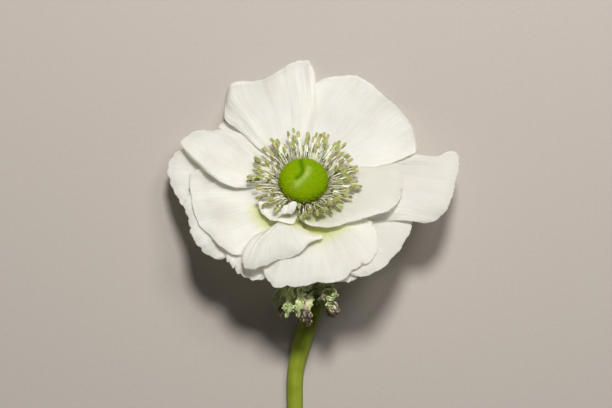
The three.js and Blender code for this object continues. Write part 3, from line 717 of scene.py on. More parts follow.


# %% [markdown]
# Petal flesh is white because of the air between its cells. It passes a good part of the light,
# which is why the shadows between the petals are pale and a little yellow, and why a petal alone
# over the dark looks dimmer than several over each other. Light scattered under the surface would
# be true too, but it doesn't reach the shadows below, so the finish hands a large share of the
# light through the blade instead. A mirror-like shine would look like china, so it is kept low.

# %% Petal finish
# The yellow-green of the petal bases, also used as painted shade below the lip and petal_inner_right.
BASE_GREEN_AND_SHADE = paint(210, 218, 100)
# Painted shade: the greyer white toward which petals on the right and at the bottom are dulled.
PAINTED_SHADE_WHITE = paint(222, 220, 212)
BROWN = paint(186, 140, 84)
LIGHT_THROUGH = (0.6, paint(250, 249, 243))
GRAIN_ACROSS = 1.6
GRAIN_ALONG = 0.08
BLOTCH_SCALE = 130.0
DIMPLE_SCALE = 150.0
CELL_SCALE = 2600.0


def petal_finish(name, bright, dull):
    """White petal flesh with faint lengthwise grain, a green base, brown nicks, and painted shade:
    the green also paints yellow-green shade below the lip and petal_inner_right, and some petals
    are dulled toward a greyer white.
    """
    finish = Finish(name)
    across, along, draw = finish.stored("across"), finish.stored("along"), finish.stored("draw")
    grain = finish.noise(1.0, 4.0, finish.point(across * GRAIN_ACROSS, along * GRAIN_ALONG, draw))
    blotch = finish.noise(BLOTCH_SCALE, 2.0)
    dimples = finish.noise(DIMPLE_SCALE, 2.0)
    cells = finish.noise(CELL_SCALE, 2.0)
    colour = finish.mix(finish.step(grain * 0.6 + blotch * 0.4, 0.35, 0.65), dull, bright)
    # Painted shade: some petals are dulled toward the greyer white.
    colour = finish.mix(finish.stored("tone") * 0.8, colour, PAINTED_SHADE_WHITE)
    # Green base, and below the lip and petal_inner_right painted yellow-green shade.
    colour = finish.mix(finish.stored("green"), colour, BASE_GREEN_AND_SHADE)
    colour = finish.mix(finish.stored("nick"), colour, BROWN)
    return finish.done(
        Base_Color=colour,
        Roughness=0.6 + grain * 0.15,
        Normal=finish.bump(dimples + grain * 0.35 + cells * 0.04, 0.9, 0.7),
        Specular_IOR_Level=0.2,
        through=LIGHT_THROUGH,
    )


petal_faces = [
    petal_finish("petal_front_face", bright=paint(252, 252, 251), dull=paint(238, 236, 230)),
    petal_finish("petal_back_face", bright=paint(250, 250, 242), dull=paint(244, 245, 232)),
]

# %% All petals
laid = np.full((TURN_CELLS, REACH_CELLS), NOTHING)
for number, petal in enumerate(PETALS):
    draw = np.random.default_rng(SEED + number)
    sheet = petal_sheet(petal, PETAL_ROWS, PETAL_COLUMNS)
    nicks = petal_relief(sheet, petal, draw)
    below = laid.copy()
    lift = lay(sheet, laid)
    settle_sides(petal, sheet, below)
    lift_side(petal, sheet)
    roll_edges(sheet)
    sunk = sheet[:1] * [1 - ROOT_SUNK / ROOT_REACH, 1 - ROOT_SUNK / ROOT_REACH, 1]
    sheet = np.vstack([sunk, sheet])
    nicks = np.vstack([nicks[:1], nicks])
    shares = np.r_[0, np.linspace(0, 1, PETAL_ROWS + 1)][:, None]
    width = np.linalg.norm(np.diff(sheet[-1], axis=0), axis=1).sum()
    length = np.linalg.norm(sheet[-1] - sheet[0], axis=1).mean()
    shape = Shape()
    shape.add(
        from_head(sheet),
        across=np.linspace(0, width, PETAL_COLUMNS + 1)[None],
        along=shares * length,
        draw=7.0 * number,
        green=petal_green_and_shade(petal, sheet),
        tone=petal["tone"],
        nick=NICK_BROWN * nicks,
    )
    piece = shape.build(petal["name"] + "_blade", petal_faces, [petal["name"]], "petal")
    weights = 1 - smooth(np.broadcast_to(shares, sheet.shape[:2]), 0.7, 1.0).ravel()
    thicken(piece, PETAL_THICKNESS, weights, RIM_THICKNESS)
    print("  raised by up to", round(lift, 1), "mm")

# %% [markdown]
# ## Green centre
# The centre is a dome of packed pistils, each with a short soft tip, and it is folded in a crease
# with a raised bank beside it. The crease is painted darker as painted shade, the bank paler as a
# painted highlight, and the left and lower side of the dome paler as painted light. A smooth dome
# would look like a bead. Modelling each pistil would cost too many faces, so one fine dome is raised
# at points that are set out by the golden angle, as the pistils are, and the tips stand further out
# toward the rim, where they show as a fringe, with painted shade in the gaps between them.

# %% Dome with pistil tips
from mathutils.kdtree import KDTree

CENTRE_RADIUS = 6.8
CENTRE_HALF_HEIGHT = 4.4
CENTRE_HEIGHT = 4.0
CENTRE_BASE = 0.9
MEAN_RADIUS = 6.0
TOP_ANGLE = 0.004
PISTILS = 1200
PISTIL_STRAY = 0.016
PISTIL_RISE = 0.12
FRINGE_RISE = 0.35
FRINGE_ANGLES = (1.1, 1.6)
DOME_ROWS = 150
DOME_COLUMNS = 300
GOLDEN_ANGLE = math.pi * (3 - math.sqrt(5))
CREASE = [(-1.0, 5.4), (-0.8, 3.8), (-0.5, 2.2), (-0.4, 0.6), (-1.0, -0.7), (-2.0, -1.5)]
CREASE_WIDTH = 0.7
CREASE_DEPTH = 0.4
CREASE_HEIGHTS = (5.2, 7.0)
BANK = [(1.4, 1.3), (1.1, 0.2), (0.4, -1.1), (-0.8, -2.4), (-2.1, -3.6)]
BANK_WIDTH = 0.95
BANK_RISE = 0.25
BANK_HEIGHTS = (4.4, 6.0)


def dome_point(polar_angle, turn):
    """A point of the dome, and the direction out of it, for an angle from its top."""
    ring, rise = np.sin(polar_angle), np.cos(polar_angle)
    across = np.stack([np.cos(turn), np.sin(turn)], -1)
    point = np.concatenate([CENTRE_RADIUS * ring[..., None] * across,
                            (CENTRE_HEIGHT + CENTRE_HALF_HEIGHT * rise)[..., None]], -1)
    outward = np.concatenate([ring[..., None] * across / CENTRE_RADIUS,
                              (rise / CENTRE_HALF_HEIGHT)[..., None]], -1)
    return point, unit(outward)


def near_line(line, width, heights):
    """From 0 far from a smooth line in plan to 1 on it, and only on the upper part of the dome."""
    places = curve_at(line, np.linspace(0, len(line) - 1, 60))
    distance = np.linalg.norm(dome[..., None, :2] - places, axis=-1).min(-1)
    return hump(distance, width) * smooth(dome[..., 2], *heights)


lowest = math.acos((CENTRE_BASE - CENTRE_HEIGHT) / CENTRE_HALF_HEIGHT)
share = (np.arange(PISTILS) + 0.5) / PISTILS
pistil_angle = np.arccos(1 - share * (1 - math.cos(lowest)))
pistil_draw = np.random.default_rng(SEED + 30)
pistil_angle += pistil_draw.normal(0, PISTIL_STRAY, PISTILS)
pistil_turn = GOLDEN_ANGLE * np.arange(PISTILS)
pistil_turn = pistil_turn + pistil_draw.normal(0, PISTIL_STRAY, PISTILS) / np.sin(pistil_angle)
pistil_points, _ = dome_point(pistil_angle, pistil_turn)
tree = KDTree(PISTILS)
for k, point in enumerate(pistil_points):
    tree.insert(point, k)
tree.balance()

angle = np.linspace(lowest, TOP_ANGLE, DOME_ROWS)[:, None]
turn = np.linspace(0, 2 * math.pi, DOME_COLUMNS, endpoint=False)[None]
dome, outward = dome_point(*np.broadcast_arrays(angle, turn))
found = [tree.find(point) for point in dome.reshape(-1, 3)]
nearest = np.array([distance for _, _, distance in found]).reshape(dome.shape[:2])
which = np.array([number for _, number, _ in found]).reshape(dome.shape[:2])
own = pistil_draw.uniform(0, 1, PISTILS)[which]
pistil_radius = math.sqrt(2 * (1 - math.cos(lowest)) / PISTILS) * MEAN_RADIUS
tip = np.clip(1 - (nearest / pistil_radius) ** 2, 0, 1)
crease = near_line(CREASE, CREASE_WIDTH, CREASE_HEIGHTS)
bank = near_line(BANK, BANK_WIDTH, BANK_HEIGHTS)
fringe = smooth(angle, *FRINGE_ANGLES) + 0 * turn
# Painted light: the dome is paler toward its left and lower side.
pale_side = smooth(-0.9 * dome[..., 0] - 0.4 * dome[..., 1], -6.0, 6.0)
raised = tip * (0.5 + own) * (PISTIL_RISE + (FRINGE_RISE - PISTIL_RISE) * fringe) * (1 - 0.5 * crease)
dome += outward * (raised + BANK_RISE * bank - CREASE_DEPTH * crease)[..., None]
print(PISTILS, "pistils, one about", round(2 * pistil_radius, 2), "mm wide")

# %% Centre finish and piece
finish = Finish("pistil_green")
blotch = finish.noise(420.0, 3.0)
fine = finish.noise(3600.0, 2.0)
# A random tone, and the painted light on the left and lower side.
tone = finish.stored("own") * 0.35 + blotch * 0.25 + finish.stored("pale_side") * 0.4
colour = finish.mix(tone, paint(86, 122, 0), paint(126, 150, 0))
colour = finish.mix(finish.stored("tip") * 0.35, colour, paint(134, 160, 6))
# Painted highlight: a pale band along the raised bank beside the crease.
colour = finish.mix(finish.stored("bank") * (0.1 + blotch * 0.9), colour, paint(160, 178, 92))
# Painted shade: the crease is darker green.
colour = finish.mix(finish.stored("crease") * 0.85, colour, paint(66, 104, 0))
# Painted shade in the gaps between the pistil tips near the rim.
colour = finish.mix(finish.stored("fringe") * (1 - finish.stored("tip")) * 0.8, colour, paint(66, 84, 0))
finish.done(
    Base_Color=colour,
    Roughness=0.6 + fine * 0.2,
    Normal=finish.bump(fine, 0.06, 0.5),
    Subsurface_Weight=0.2,
    Subsurface_Radius=(0.6, 1.0, 0.02),
    Subsurface_Scale=0.6 * MM,
    Specular_IOR_Level=0.03,
)
shape = Shape()
shape.add(from_head(dome[:, ::-1]), tube=True, tip=tip[:, ::-1], bank=bank[:, ::-1],
          crease=crease[:, ::-1], fringe=fringe, own=own[:, ::-1], pale_side=pale_side[:, ::-1])
shape.build("centre_dome", [finish.material], ["centre"], "centre")

# %% [markdown]
# ## Stamens
# Round the centre stand white threads, the filaments, each with a two-lobed olive anther on its
# end. Close to the centre are short dark ones that haven't opened. The long ones are set out by the
# golden angle too, so that no rows show, and each is bent, turned and coloured by its own draw.
# Blender's hair would be quicker, but it isn't a mesh, so they are real tubes.

# %% Filaments and anthers
STAMENS = 192
FILAMENT_RADIUS = 0.1
ANTHER_LENGTH = 2.0
ANTHER_LOBE = 0.27
LOBES_APART = 0.72
LOBE_FLAT = 0.8
ANTHER_STRAY = 0.072
ANTHER_ROLL = 0.6
ANTHER_SIZES = (0.85, 1.12)
SPARSE_FROM, SPARSE_TO = math.radians(105), math.radians(215)
SPARSE_SHARE = 0.2
PETALOID_FROM, PETALOID_TO = math.radians(236), math.radians(264)
PETALOID_REACH = 8.5
ANTHERS_NEAR = 8.9
ANTHERS_FAR = 15.3
YOUNG_STAMENS = 120
LOW_SIDE_SHORTER = 2.0
CLUMPS = 19
CLUMPING = 0.05
TURN_STRAY = 0.06
REACH_STRAY = 0.6
SWAY = 0.06
BEND_REACH = 1.1
BEND_STRAY = (-0.3, 0.3)
BEND_LOWER = (0.8, 2.2)
HIGHEST_ANTHER = 7.3
ANTHERS_FALL = 1.3
HEIGHT_STRAY = (-0.9, 0.5)
STARTS = (6.3, 7.5)
START_DROP = 4.9
RIPENESS = (0, 0.8)
LOW_SIDE_RIPER = 0.15
YOUNG_REACHES = (7.5, 11.6)
YOUNG_HEIGHTS = (3.4, 6.4)
YOUNG_STARTS = (6.2, 7.0)
YOUNG_LENGTHS = (0.5, 0.75)
YOUNG_RIPENESS = (0.66, 1.2)
BEZIER = np.linspace(0, 1, 9)[:, None]


def filament_line(start, middle, end):
    return (1 - BEZIER) ** 2 * start + 2 * BEZIER * (1 - BEZIER) * middle + BEZIER**2 * end


def add_anther(shape, tip, along, side, length, lobe, ripe):
    """Two long lobes beside each other, with the groove between them."""
    place = np.linspace(-0.5, 0.5, 9)
    fullness = np.sqrt(np.clip(1 - (2 * place) ** 4, 0.02, 1)) * (1 - 0.25 * place)
    up = np.cross(side, along)
    for half in (-1, 1):
        middle = tip + along * (place * length)[:, None] + side * half * lobe * LOBES_APART - up * 0.05
        shape.add(tube_rings(middle, lobe * fullness, 8, across=up, flat=LOBE_FLAT), tube=True, ripe=ripe)


def add_stamen(turn, reach, height, start_reach, length, ripe):
    """A filament from the ring out to its anther. Ripe runs from 0, pale, to 1, brown."""
    sway = draw.normal(0, SWAY)
    out = np.array([math.cos(turn), math.sin(turn), 0])
    side = np.array([-math.sin(turn), math.cos(turn), 0])
    rise = np.array([0, 0, 1.0])
    start = out * start_reach + rise * (start_reach - START_DROP)
    end = out * reach + rise * height + side * reach * sway
    middle = out * (start_reach + BEND_REACH + draw.uniform(*BEND_STRAY))
    middle = middle + rise * (height - draw.uniform(*BEND_LOWER))
    line = filament_line(start, middle, end)
    width = FILAMENT_RADIUS * (1.25 - 0.45 * BEZIER[:, 0])
    threads.add(tube_rings(from_head(line), width, 6), tube=True, along=BEZIER, draw=ripe)
    line = from_head(line)
    along = unit(line[-1] - line[-3] + draw.normal(0, ANTHER_STRAY, 3))
    flat = np.cross(along, unit(from_head(rise + out * 0.3) - HEAD))
    roll = draw.normal(0, ANTHER_ROLL)
    over = np.cross(flat, along)
    side = unit(flat * math.cos(roll) + over * math.sin(roll))
    size = draw.uniform(*ANTHER_SIZES)
    lobe = ANTHER_LOBE * size * length / ANTHER_LENGTH
    add_anther(anthers, line[-1], along, side, length * size, lobe, ripe)


draw = np.random.default_rng(SEED + 40)
threads, anthers = Shape(), Shape()
for k in range(STAMENS):
    share = math.sqrt((k + 0.5) / STAMENS)
    turn = (k * GOLDEN_ANGLE + draw.normal(0, TURN_STRAY)) % (2 * math.pi)
    turn += CLUMPING * math.sin(CLUMPS * turn)
    low_side = float(smooth(-math.sin(turn), 0.2, 0.9))
    reach = ANTHERS_NEAR + (ANTHERS_FAR - ANTHERS_NEAR) * share + draw.normal(0, REACH_STRAY)
    reach -= LOW_SIDE_SHORTER * low_side * share
    height = HIGHEST_ANTHER - ANTHERS_FALL * share + draw.uniform(*HEIGHT_STRAY)
    if SPARSE_FROM < turn < SPARSE_TO and draw.uniform() < SPARSE_SHARE:
        continue
    if PETALOID_FROM < turn < PETALOID_TO and reach > PETALOID_REACH:
        continue
    add_stamen(turn, reach, height, draw.uniform(*STARTS), ANTHER_LENGTH,
               draw.uniform(*RIPENESS) + LOW_SIDE_RIPER * low_side)
for k in range(YOUNG_STAMENS):
    turn = (k + draw.uniform(-0.3, 0.3)) * 2 * math.pi / YOUNG_STAMENS
    add_stamen(turn, draw.uniform(*YOUNG_REACHES), draw.uniform(*YOUNG_HEIGHTS),
               draw.uniform(*YOUNG_STARTS), draw.uniform(*YOUNG_LENGTHS) * ANTHER_LENGTH,
               draw.uniform(*YOUNG_RIPENESS))
print(STAMENS, "stamens and", YOUNG_STAMENS, "young ones")

# %% Stamen finishes and pieces
finish = Finish("filament_white")
# Painted shade: darker olive toward the filaments' bases, deep between them near the centre.
colour = finish.mix(finish.step(finish.stored("along"), 0.0, 0.6), paint(150, 144, 84), paint(250, 248, 226))
colour = finish.mix(finish.step(finish.stored("draw"), 0.8, 1.0) * 0.7, colour, paint(124, 118, 52))
finish.done(
    Base_Color=colour,
    Roughness=0.5,
    Subsurface_Weight=0.2,
    Subsurface_Scale=0.5 * MM,
)
threads_finish = finish.material

finish = Finish("anther_olive")
ripe = finish.stored("ripe")
dust = finish.noise(2400.0, 3.0)
colour = finish.mix(finish.step(ripe, 0.2, 0.5), paint(134, 146, 62), paint(158, 150, 92))
colour = finish.mix(finish.step(ripe, 0.56, 0.76), colour, paint(106, 110, 44))
colour = finish.mix(finish.step(ripe, 0.9, 1.1), colour, paint(92, 66, 36))
colour = finish.mix(finish.step(dust, 0.42, 0.7) * 0.45, colour, paint(214, 208, 158))
finish.done(
    Base_Color=colour,
    Roughness=0.75,
    Normal=finish.bump(dust, 0.12, 0.7),
    Subsurface_Weight=0.1,
    Subsurface_Scale=0.4 * MM,
)

RING = [(4.7, -0.4), (7.5, 1.7), (7.8, 2.9), (6.8, 2.0), (5.5, 0.75), (4.7, 0.35)]
profile = curve_at(RING + RING[:1], np.linspace(0, len(RING), 25))[:-1]
turn = np.linspace(0, 2 * math.pi, 97)[:, None]
ring = np.stack([profile[:, 0] * np.cos(turn), profile[:, 0] * np.sin(turn), profile[:, 1] + 0 * turn], -1)
ring = np.concatenate([ring, ring[:, :1]], 1)
ring_shape = Shape()
# Along 0 gives the ring the darker olive of the filaments' bases, painted shade.
ring_shape.add(from_head(ring), along=0.0, draw=0.0)
ring_shape.build("stamen_ring", [threads_finish], ["stamens"], "stamens")
threads.build("filaments", [threads_finish], ["stamens"], "stamens")
anthers.build("anthers", [finish.material], ["stamens"], "stamens")

# %% [markdown]
# ## Small folded petaloid
# At the lower left of the centre one stamen has grown into a small white petal, folded like a
# tent. It is a short sheet with a ridge down its middle.

# %% Petaloid
PETALOID = [
    [(-2.0, -7.4, 2.6), (-1.7, -9.3, 7.0), (-2.3, -10.9, 6.6), (-3.2, -12.3, 5.8)],
    [(-2.7, -7.3, 2.8), (-2.9, -9.2, 7.9), (-4.0, -10.5, 7.8), (-4.7, -12.6, 6.9)],
    [(-3.3, -7.2, 2.6), (-4.2, -9.6, 7.0), (-4.9, -11.0, 6.9), (-5.4, -12.5, 6.3)],
    [(-4.0, -7.0, 2.4), (-5.5, -10.4, 7.1), (-6.4, -11.6, 7.0), (-6.8, -12.6, 6.4)],
]
FOLD_COLUMNS = 37
FOLD_ROWS = 30
CRUMPLE = 0.14
PETALOID_LENGTH = 8
PETALOID_WIDTH = 7
PETALOID_THICKNESS = 0.3

lengthwise = np.array([curve_at(line, np.linspace(0, 3, FOLD_ROWS)) for line in PETALOID])
sheet = more_rows(lengthwise, FOLD_COLUMNS).swapaxes(0, 1)
draw = np.random.default_rng(SEED + 60)
s, t = shares_of(FOLD_ROWS, FOLD_COLUMNS)
sheet[..., 2] += CRUMPLE * waves(draw, t + 0.5 * s, [(2, 3), (5, 7)], drift=2 * s)
sheet[..., 0] += CRUMPLE * waves(draw, s, [(1, 2), (3, 5)], drift=2 * t)
shape = Shape()
shape.add(from_head(sheet[:, ::-1]), across=t * PETALOID_WIDTH, along=s * PETALOID_LENGTH, draw=3.0,
          green=0.0, tone=0.0, nick=0.0)
thicken(shape.build("petaloid", petal_faces, ["stamens"], "petal"), PETALOID_THICKNESS)

# %% [markdown]
# ## Stem
# The stem is one stalk. Its upper end widens into the receptacle, under the petals, and the rest
# bends down and lies along the surface. It is round with faint lengthwise ribs, olive green, and
# paler on the cut end. A curve with a bevel would be shorter to write, but a mesh keeps the flat
# underside and the ribs.

# %% Stem route and tube
STEM_ROUTE = [
    (-1.9, 44.6, 9.6, 2.3), (-0.6, 38.5, 7.4, 2.3), (1.2, 30, 6.6, 2.4), (1.8, 22, 6.2, 2.4),
    (-0.3, 14.7, 4.9, 2.6), (-2.9, 6.7, 3.4, 2.75), (-4.8, -1.8, 2.6, 2.5), (-5, -13, 2.3, 2.4),
    (-4.4, -40, 2.3, 2.4), (-1.5, -70, 2.3, 2.4), (1.5, -92.5, 2.3, 2.4),
]
RECEPTACLE = [(0.5, 4.2), (-6.4, 4.2), (-8.6, 3.2), (-11.5, 2.4)]
STEM_RADIUS = 2.4
STEM_SIDES = 48
STEM_ROWS = 320
RIBS = 11
RIB_DEPTH = 0.01
COLLAR_POINT = 7

axis_points = [(*from_head([0, 0, height]), radius) for height, radius in RECEPTACLE]
route = np.array(axis_points + STEM_ROUTE)


def stem_station(k):
    """The stem's middle, its radius and the directions along, right of and over it, at a route point."""
    k = np.atleast_1d(np.asarray(k, float))
    middle = curve_at(route[:, :3], k)
    step = 0.01
    ahead = curve_at(route[:, :3], np.minimum(k + step, len(route) - 1))
    behind = curve_at(route[:, :3], np.maximum(k - step, 0))
    along = unit(ahead - behind)
    right = unit(np.cross([0, 0, 1.0], along))
    radius = np.interp(k, np.arange(len(route)), route[:, 3])
    return middle, radius, along, right, np.cross(along, right)


def round_stem(k, angle, radius, push):
    """Points round a station of the stem, at an angle from its right toward its top."""
    middle, _, along, right, over = (value[0] for value in stem_station(k))
    angle, radius, push = (np.asarray(value, float)[..., None] for value in (angle, radius, push))
    return middle + radius * (right * np.cos(angle) + over * np.sin(angle)) + along * push


k = np.linspace(0, len(route) - 1, STEM_ROWS)
middle, radius, along, right, over = stem_station(k)
radius = np.where(k < len(RECEPTACLE) - 1, radius, curve_at(route[:, 3:], k, evenness=0)[:, 0])
angle = np.linspace(0, 2 * math.pi, STEM_SIDES, endpoint=False)
ribs = 1 + RIB_DEPTH / STEM_RADIUS * np.sin(RIBS * angle)[None] * smooth(k, 2, 4)[:, None]
ring = right[:, None] * np.cos(angle)[:, None] + over[:, None] * np.sin(angle)[:, None]
stem = middle[:, None] + ring * (radius[:, None] * ribs)[..., None]
stem[..., 2] = np.maximum(stem[..., 2], 0)
length_along = np.r_[0, np.cumsum(np.linalg.norm(np.diff(middle, axis=0), axis=1))]

# The cut end: the rim first, then rings inward on the cut face
END_RINGS = [1.0, 0.97, 0.84, 0.66, 0.4, 0.12]
END_SUNK = [0.0, 0.0, 0.05, 0.16, 0.3, 0.34]
END_PALE = [0.0, 0.6, 0.8, 0.85, 0.95, 1.0]
cut = [middle[-1] + (stem[-1] - middle[-1]) * share - along[-1] * sunk
       for share, sunk in zip(END_RINGS, END_SUNK)]
print("stem is", round(float(length_along[-1])), "mm long")

# %% Stem finish and piece
STREAK_AROUND = 2.2
STREAK_ALONG = 0.035
STREAK_SHIFT = 5
finish = Finish("stem_green")
around, length = finish.stored("around"), finish.stored("along")
streak = finish.noise(1.0, 4.0, finish.point(around * STREAK_AROUND, length * STREAK_ALONG, 1.0))
blotch = finish.noise(230.0, 4.0)
colour = finish.mix(finish.step(streak, 0.15, 0.85), paint(120, 134, 26), paint(137, 150, 46))
colour = finish.mix(finish.step(blotch, 0.45, 0.7) * 0.5, colour, paint(112, 122, 16))
cut_face = finish.stored("cut")
pith = finish.mix(finish.step(cut_face, 0.55, 0.9), paint(150, 170, 84), paint(206, 212, 150))
colour = finish.mix(cut_face, colour, pith)
finish.done(
    Base_Color=colour,
    Roughness=0.4 + streak * 0.2,
    Normal=finish.bump(streak * 0.6 + blotch * 0.6, 0.08, 0.5),
    Subsurface_Weight=0.12,
    Subsurface_Radius=(0.5, 1.0, 0.1),
    Subsurface_Scale=1.0 * MM,
    Specular_IOR_Level=0.25,
)
shape = Shape()
rows = np.concatenate([stem, np.array(cut)])
along_rows = np.r_[length_along, np.full(len(cut), length_along[-1])][:, None]
cut_rows = np.r_[np.zeros(len(stem)), END_PALE][:, None]
around_rows = np.cos(angle[::-1])[None] * STEM_RADIUS + STREAK_SHIFT
shape.add(rows[:, ::-1], tube=True, around=around_rows, along=along_rows, cut=cut_rows)
shape.build("stem_stalk", [finish.material], ["stem"], "stem")

# %% [markdown]
# ## Collar leaves
# Below the flower three leaves clasp the stem. They are cut into narrow toothed lobes that hang
# over it, dark green near the stem, partly as painted shade under the flower, pale green further
# out, and withered to grey and brown at their tips. Each lobe is a folded ribbon along its own
# route, with toothed edges, and side lobes that leave it at angles.

# %% The leaves' description
SHEATH_LENGTH = 3.6
LEAF_CLEAR = 0.45
LEAF_THICKNESS = 0.36
LOBE_WIDTHS = [0.36, 0.75, 1, 0.8, 1.05, 0.75, 0.85, 0.3]
LOBE_FOLD = 0.3
LEAVES = [
    dict(name="bract_left", first=158, last=262, lobes=[
        dict(root=205, width=2.2, wither=0.1,
             route=[(-6.2, 0.9, 5.8), (-10.6, 1.7, 8.4), (-12.4, -0.8, 6.4), (-11.8, -4.3, 2.8)]),
        dict(root=190, width=2.4, wither=0.6,
             route=[(-6.3, 2.2, 7.6), (-9, 2.2, 13.3), (-10.5, -2.2, 13.8), (-10.7, -6.3, 12.3)]),
        dict(root=178, width=3.4, wither=0.1, pale=0.1,
             route=[(-5.6, 2.7, 9.2), (-7.3, 2.1, 17.8), (-8.4, -1.5, 20.3), (-9, -6.1, 18.3)]),
    ]),
    dict(name="bract_top", first=62, last=142, lobes=[
        dict(root=126, width=3.0, wither=0.2,
             route=[(-2.6, 2.2, 13.8), (-4.6, 2, 20.8), (-5.4, -1.3, 22.8), (-5.7, -5.8, 20.8)]),
        dict(root=106, width=3.2, wither=0.9,
             route=[(-1.2, 1.7, 14.8), (-1.8, 0.2, 20.3), (-3.2, -2.6, 21.8), (-3.4, -5.6, 19.3),
                    (-2.5, -8.8, 15.3)]),
        dict(root=88, width=3.2, wither=0.0, pale=0.3,
             route=[(-0.3, 3.2, 15.8), (-2.1, 3.8, 21.8), (-4.4, 2.1, 23.8)]),
    ]),
    dict(name="bract_right", first=-70, last=40, lobes=[
        dict(root=36, width=1.4, wither=0.0, route=[(2.9, 2.6, 11.8), (3.8, 3.7, 17.8), (5.1, 4.9, 20.8)]),
        dict(root=28, width=2.0, wither=0.1, pale=0.3,
             route=[(2.8, 1.2, 10.8), (2.8, 1.9, 19.8), (4.4, 1.5, 23.3), (4.5, -0.2, 23.3),
                    (2.8, -0.8, 21.8)]),
        dict(root=15, width=1.7, wither=0.1, route=[(2.4, -0.6, 9.8), (1.3, 0.4, 16.8), (1.9, 1.6, 20.4)]),
        dict(root=0, width=3.6, wither=0.5, pale=0.4,
             route=[(3, -1.6, 7.8), (1.8, -0.4, 18.4), (2.9, -1.0, 22.6), (5.3, -2.8, 20.4)]),
        dict(root=-20, width=2.4, wither=0.8, pale=0.3,
             route=[(3.6, -3, 4.8), (3, -4, 11.8), (4.3, -4.3, 13.8), (6.4, -4.1, 12.8)]),
        dict(root=-35, width=2.0, wither=1.0,
             route=[(4, -4, 1.8), (3.4, -5.3, 8.3), (3.8, -5.8, 10.3), (4.8, -5.7, 9.3)]),
    ]),
]

# %% Lobes and sheaths
LOBE_ROWS = 46
LOBE_COLUMNS = 11
TEETH = 6
TOOTH_DEPTH = 0.42
CRINKLE = 0.2
RUFFLE = 0.42
LOBE_STALK = 0.12
SIDE_LOBES = [(0.32, -1, 0.55), (0.45, 1, 0.55), (0.66, -1, 0.45), (0.78, 1, 0.4)]
SIDE_LENGTHS = (1.5, 2.3)
SIDE_LEANS = (0.65, 1.04)
SIDE_RISES = (-0.2, 0.5)
SIDE_SLIMMER = 0.75
SIDE_DROOP = 0.25
SHEATH_FLARE = 0.25
SHEATH_UNEVEN = 0.05

collar_middle, collar_radius = (value[0] for value in stem_station(COLLAR_POINT)[:2])
sheath_radius = collar_radius + LEAF_CLEAR + LEAF_THICKNESS


def add_lobe(shape, line, width, draw, wither, pale, start=0.0):
    """One toothed and folded ribbon along a line of points."""
    s = np.linspace(0, 1, LOBE_ROWS)
    u = np.linspace(-1, 1, LOBE_COLUMNS)[None]
    middle = curve_at(line, s * (len(line) - 1))
    along = unit(np.gradient(middle, axis=0))
    across = unit(np.cross(along, [0, -0.5, 1.0]))
    over = np.cross(across, along)
    widths = np.interp(s, np.linspace(0, 1, len(LOBE_WIDTHS)), LOBE_WIDTHS)
    teeth = 1 - TOOTH_DEPTH * ((s * TEETH + draw.uniform()) % 1.0)
    half = (width / 2 * widths * np.where(s < LOBE_STALK, 1, teeth))[:, None]
    fold = LOBE_FOLD * abs(u) * half + CRINKLE * waves(draw, s[:, None] + 0.3 * u, [(2, 3), (5, 7), (9, 12)])
    ruffle = waves(draw, s[:, None] + 0.5 * (u > 0), [(3.5, 5), (7, 9)])
    fold = (fold + RUFFLE * ruffle * abs(u) ** 1.5) * smooth(s, 0.02, 0.2)[:, None]
    sheet = middle[:, None] + across[:, None] * (half * u)[..., None] + over[:, None] * fold[..., None]
    sheet[..., 2] = np.maximum(sheet[..., 2], LEAF_THICKNESS)
    place = start + (1 - start) * s[:, None]
    shape.add(sheet[:, ::-1], ripe=place + 0 * u, across=u * half, wither=wither, pale=pale,
              draw=draw.uniform(0, 50))
    return middle, along, across, over


def add_leaf_lobes(shape, line, width, draw, wither, pale):
    """A lobe with its side lobes, which leave it at angles and hang a little."""
    middle, along, across, over = add_lobe(shape, line, width, draw, wither, pale)
    for place, side, size in SIDE_LOBES:
        k = int(place * (LOBE_ROWS - 1))
        length = width * size * draw.uniform(*SIDE_LENGTHS)
        lean = side * draw.uniform(*SIDE_LEANS)
        way = unit(along[k] + across[k] * lean + over[k] * draw.uniform(*SIDE_RISES))
        droop = np.array([0, 0, -SIDE_DROOP * length])
        branch = [middle[k], middle[k] + way * length * 0.5, middle[k] + way * length + droop]
        add_lobe(shape, branch, width * size * SIDE_SLIMMER, draw, wither, pale, start=place)


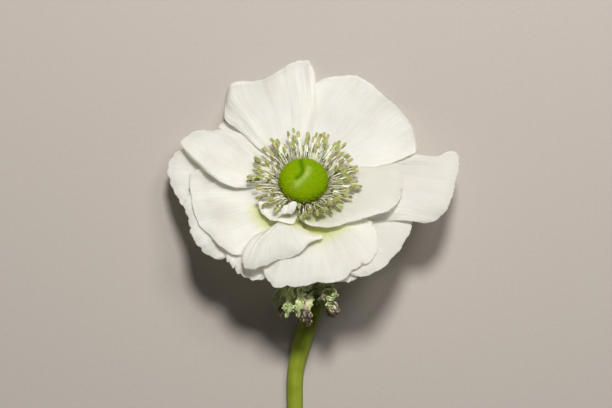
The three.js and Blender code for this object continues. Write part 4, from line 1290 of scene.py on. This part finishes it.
def add_sheath(shape, first, last):
    """The clasping base of a leaf, round its own part of the stem."""
    turn = np.radians(np.linspace(first, last, 40))[None]
    push = np.linspace(-0.5, 0.5, 14)[:, None] * SHEATH_LENGTH
    flare = SHEATH_FLARE * smooth(push, -SHEATH_LENGTH / 2, SHEATH_LENGTH / 2)
    radius = sheath_radius + flare + SHEATH_UNEVEN * np.sin(6 * turn)
    sheet = round_stem(COLLAR_POINT, turn, radius, push)
    shape.add(sheet[:, ::-1], ripe=0.0, across=turn * 3.0, wither=0.0, pale=0.0, draw=1.0)


# %% Leaf finish
finish = Finish("collar_leaf")
ripe, wither = finish.stored("ripe"), finish.stored("wither")
vein_place = finish.point(finish.stored("across") * 3.2, ripe * 2.0, finish.stored("draw"))
veins = finish.noise(1.0, 3.0, vein_place)
blotch = finish.noise(700.0, 3.0)
# From dark green near the stem, partly painted shade under the flower, to pale green further out.
pale = finish.step(ripe + finish.stored("pale"), 0.15, 0.6)
green = finish.mix(pale, paint(72, 90, 30), paint(182, 195, 132))
green = finish.mix(finish.step(veins, 0.48, 0.7) * 0.6, green, paint(208, 216, 172))
green = finish.mix(finish.step(blotch, 0.55, 0.75) * 0.5, green, paint(70, 84, 34))
dry = finish.mix(finish.step(blotch, 0.35, 0.65), paint(104, 84, 66), paint(222, 206, 180))
dying = finish.step(ripe + blotch * 0.5 - (1.35 - wither * 0.75), 0.0, 0.3)
finish.done(
    Base_Color=finish.mix(dying, green, dry),
    Roughness=0.62,
    Normal=finish.bump(veins + blotch * 0.6, 0.25, 0.8),
    Subsurface_Weight=0.12,
    Subsurface_Scale=0.5 * MM,
)

# %% All collar leaves
for number, leaf in enumerate(LEAVES):
    draw = np.random.default_rng(SEED + 80 + number)
    shape = Shape()
    add_sheath(shape, leaf["first"], leaf["last"])
    for lobe in leaf["lobes"]:
        start = round_stem(COLLAR_POINT, math.radians(lobe["root"]), sheath_radius, 0.0)
        line = np.vstack([start, collar_middle + np.array(lobe["route"])])
        add_leaf_lobes(shape, line, lobe["width"], draw, lobe["wither"], lobe.get("pale", 0.0))
    piece = shape.build(leaf["name"] + "_leaf", [finish.material], [leaf["name"]], "bract")
    thicken(piece, LEAF_THICKNESS)
